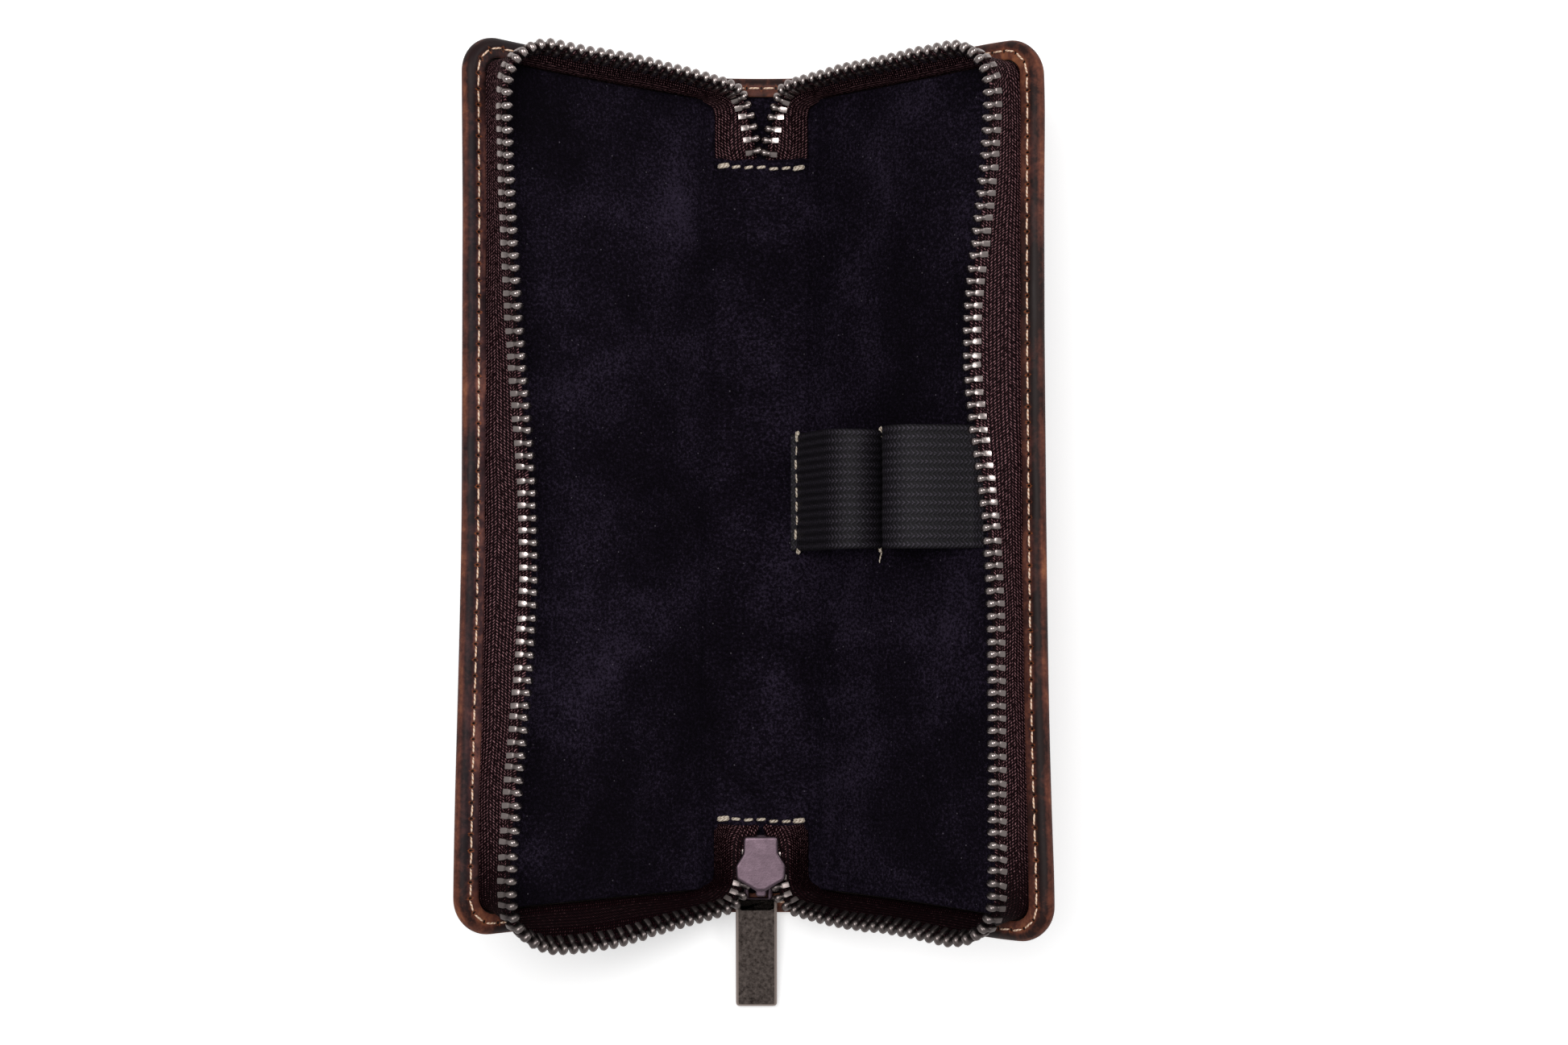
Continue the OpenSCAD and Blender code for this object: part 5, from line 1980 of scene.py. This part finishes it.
        # Bevels rubbed back, with the highlight that they catch painted into the colour.
        wear_and_highlight = [0, 0, 0.5, 0.8, 1, 1, 0.9, 0]
        shape = plate(rounded_outline(left[-1:] + right + left[:-1]), levels, wear_and_highlight)
        y, z = self.tab_at
        made = MeshMaker()
        made.copies(shape, tipped(self.droop, [self.tab_shift, y + self.pull_up, z]))
        piece = made.piece("pull_tab_bar", [metal], sharp=35)
        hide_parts("pull_tab")
        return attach(piece, "pull")

    def build(self) -> list[Piece]:
        """Builds the slider, the ring and the tab.

        Returns:
            The slider, the ring and the tab.
        """
        body = AntiqueNickel("antique nickel slider", "352a30", "806c77", rough=0.34, polish=0.3).material()
        tab = AntiqueNickel("antique nickel tab", "180f0c", "b0a19a", rough=0.42, patch=1300.0).material()
        return [self.build_body(body), self.build_ring(body), self.build_tab(tab)]


# ---- Inner layers, floor, light and camera ----

def dress_layers() -> None:
    """Gives the boards and the padding, which stay as the CAD solids, their own finishes."""
    board = Board().material()
    foam = Board("foam sheet", "2b2830", "3d3944", 1500.0).material()
    for finish, slot, names in ((board, "board", ("spine_board", "left_board", "right_board")),
                                (foam, "padding", ("left_padding", "right_padding"))):
        for name in names:
            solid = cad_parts[name]
            solid.data.materials.clear()
            solid.data.materials.append(finish)


@dataclass
class Studio:
    """A white table, soft light from above, and the camera above the open case.

    Lengths of the table and the camera are in millimetres. A lamp is its place in metres, its
    width in metres and its power in watts.
    """

    table_half: float = 3000.0
    table_drop: float = 0.02
    height: float = 590.0
    aim: tuple[float, float] = (4.9, -6.3)
    stand: float = -23.3
    lens: float = 62.7
    fill: float = 0.38
    overhead: tuple = ((-0.12, 0.10, 0.75), 0.4, 2.6)
    from_side: tuple = ((0.55, 0.35, 0.6), 0.3, 1.6)

    def floor(self) -> None:
        """The table. It lies just under Z = 0, so that no face of the case shares its plane."""
        half = self.table_half * MM
        low = -self.table_drop * MM
        corners = [(-half, -half, low), (half, -half, low), (half, half, low), (-half, half, low)]
        mesh = bpy.data.meshes.new("table")
        mesh.from_pydata(corners, [], [(0, 1, 2, 3)])
        mesh.materials.append(Laminate().material())
        linked("table", mesh)

    def light(self) -> None:
        """An even white sky for the fill, a broad soft lamp above and one from the upper right."""
        world = bpy.data.worlds.new("soft white room")
        bpy.context.scene.world = world
        world.use_nodes = True
        world.node_tree.nodes.clear()
        add = partial(node, world.node_tree)
        white = linear("ffffff")
        sky = add("Background", {"Color": white, "Strength": self.fill})
        seen = add("Background", {"Color": white, "Strength": 1.0})
        mixed = add("MixShader", [add("LightPath").outputs["Is Camera Ray"], sky, seen])
        add("OutputWorld", {"Surface": mixed})
        for name, (place, size, power) in (("overhead softbox", self.overhead),
                                           ("side softbox", self.from_side)):
            lamp = bpy.data.lights.new(name, "AREA")
            lamp.shape = "DISK"
            lamp.size = size
            lamp.energy = power
            x, y, z = unit(np.array(place))
            made = linked(name, lamp)
            made.location = place
            made.rotation_euler = (math.acos(z), 0, math.atan2(-y, -x) - math.pi / 2)

    def camera(self) -> None:
        """A long lens high above the table, tipped a little up the case."""
        lens = bpy.data.cameras.new("camera")
        lens.lens = self.lens
        lens.sensor_width = 36.0
        lens.clip_start = 0.01
        made = linked("camera", lens)
        made.location = (self.aim[0] * MM, self.stand * MM, self.height * MM)
        made.rotation_euler = (math.atan2(self.aim[1] - self.stand, self.height), 0, 0)
        bpy.context.scene.camera = made

    def build(self) -> None:
        """Sets up the floor, the light and the camera."""
        self.floor()
        self.light()
        self.camera()
        bpy.context.scene.view_settings.view_transform = "Standard"


def main() -> None:
    """Builds every sub-assembly in order."""
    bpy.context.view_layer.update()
    Studio().build()
    pieces = Leather().build() + Lining().build()
    thread = WaxedThread().material()
    fine_thread = WaxedThread("thread waxed linen fine", "ffe0c6", "bc8462").material()
    sewing = Stitching()
    pieces += [sewing.edge_row(side, fine_thread) for side in Side] + [sewing.strip_rows(thread)]
    pieces += Zip().build()
    band = PenBand()
    pieces += [band.build_band(KnitElastic().material())] + band.build_seams(thread)
    pieces += Pull().build()
    dress_layers()
    for piece in pieces:
        LOG.info("piece %s is ready", piece.name)


if __name__ == "__main__":
    logging.basicConfig(level=logging.INFO, format="%(message)s")
    main()
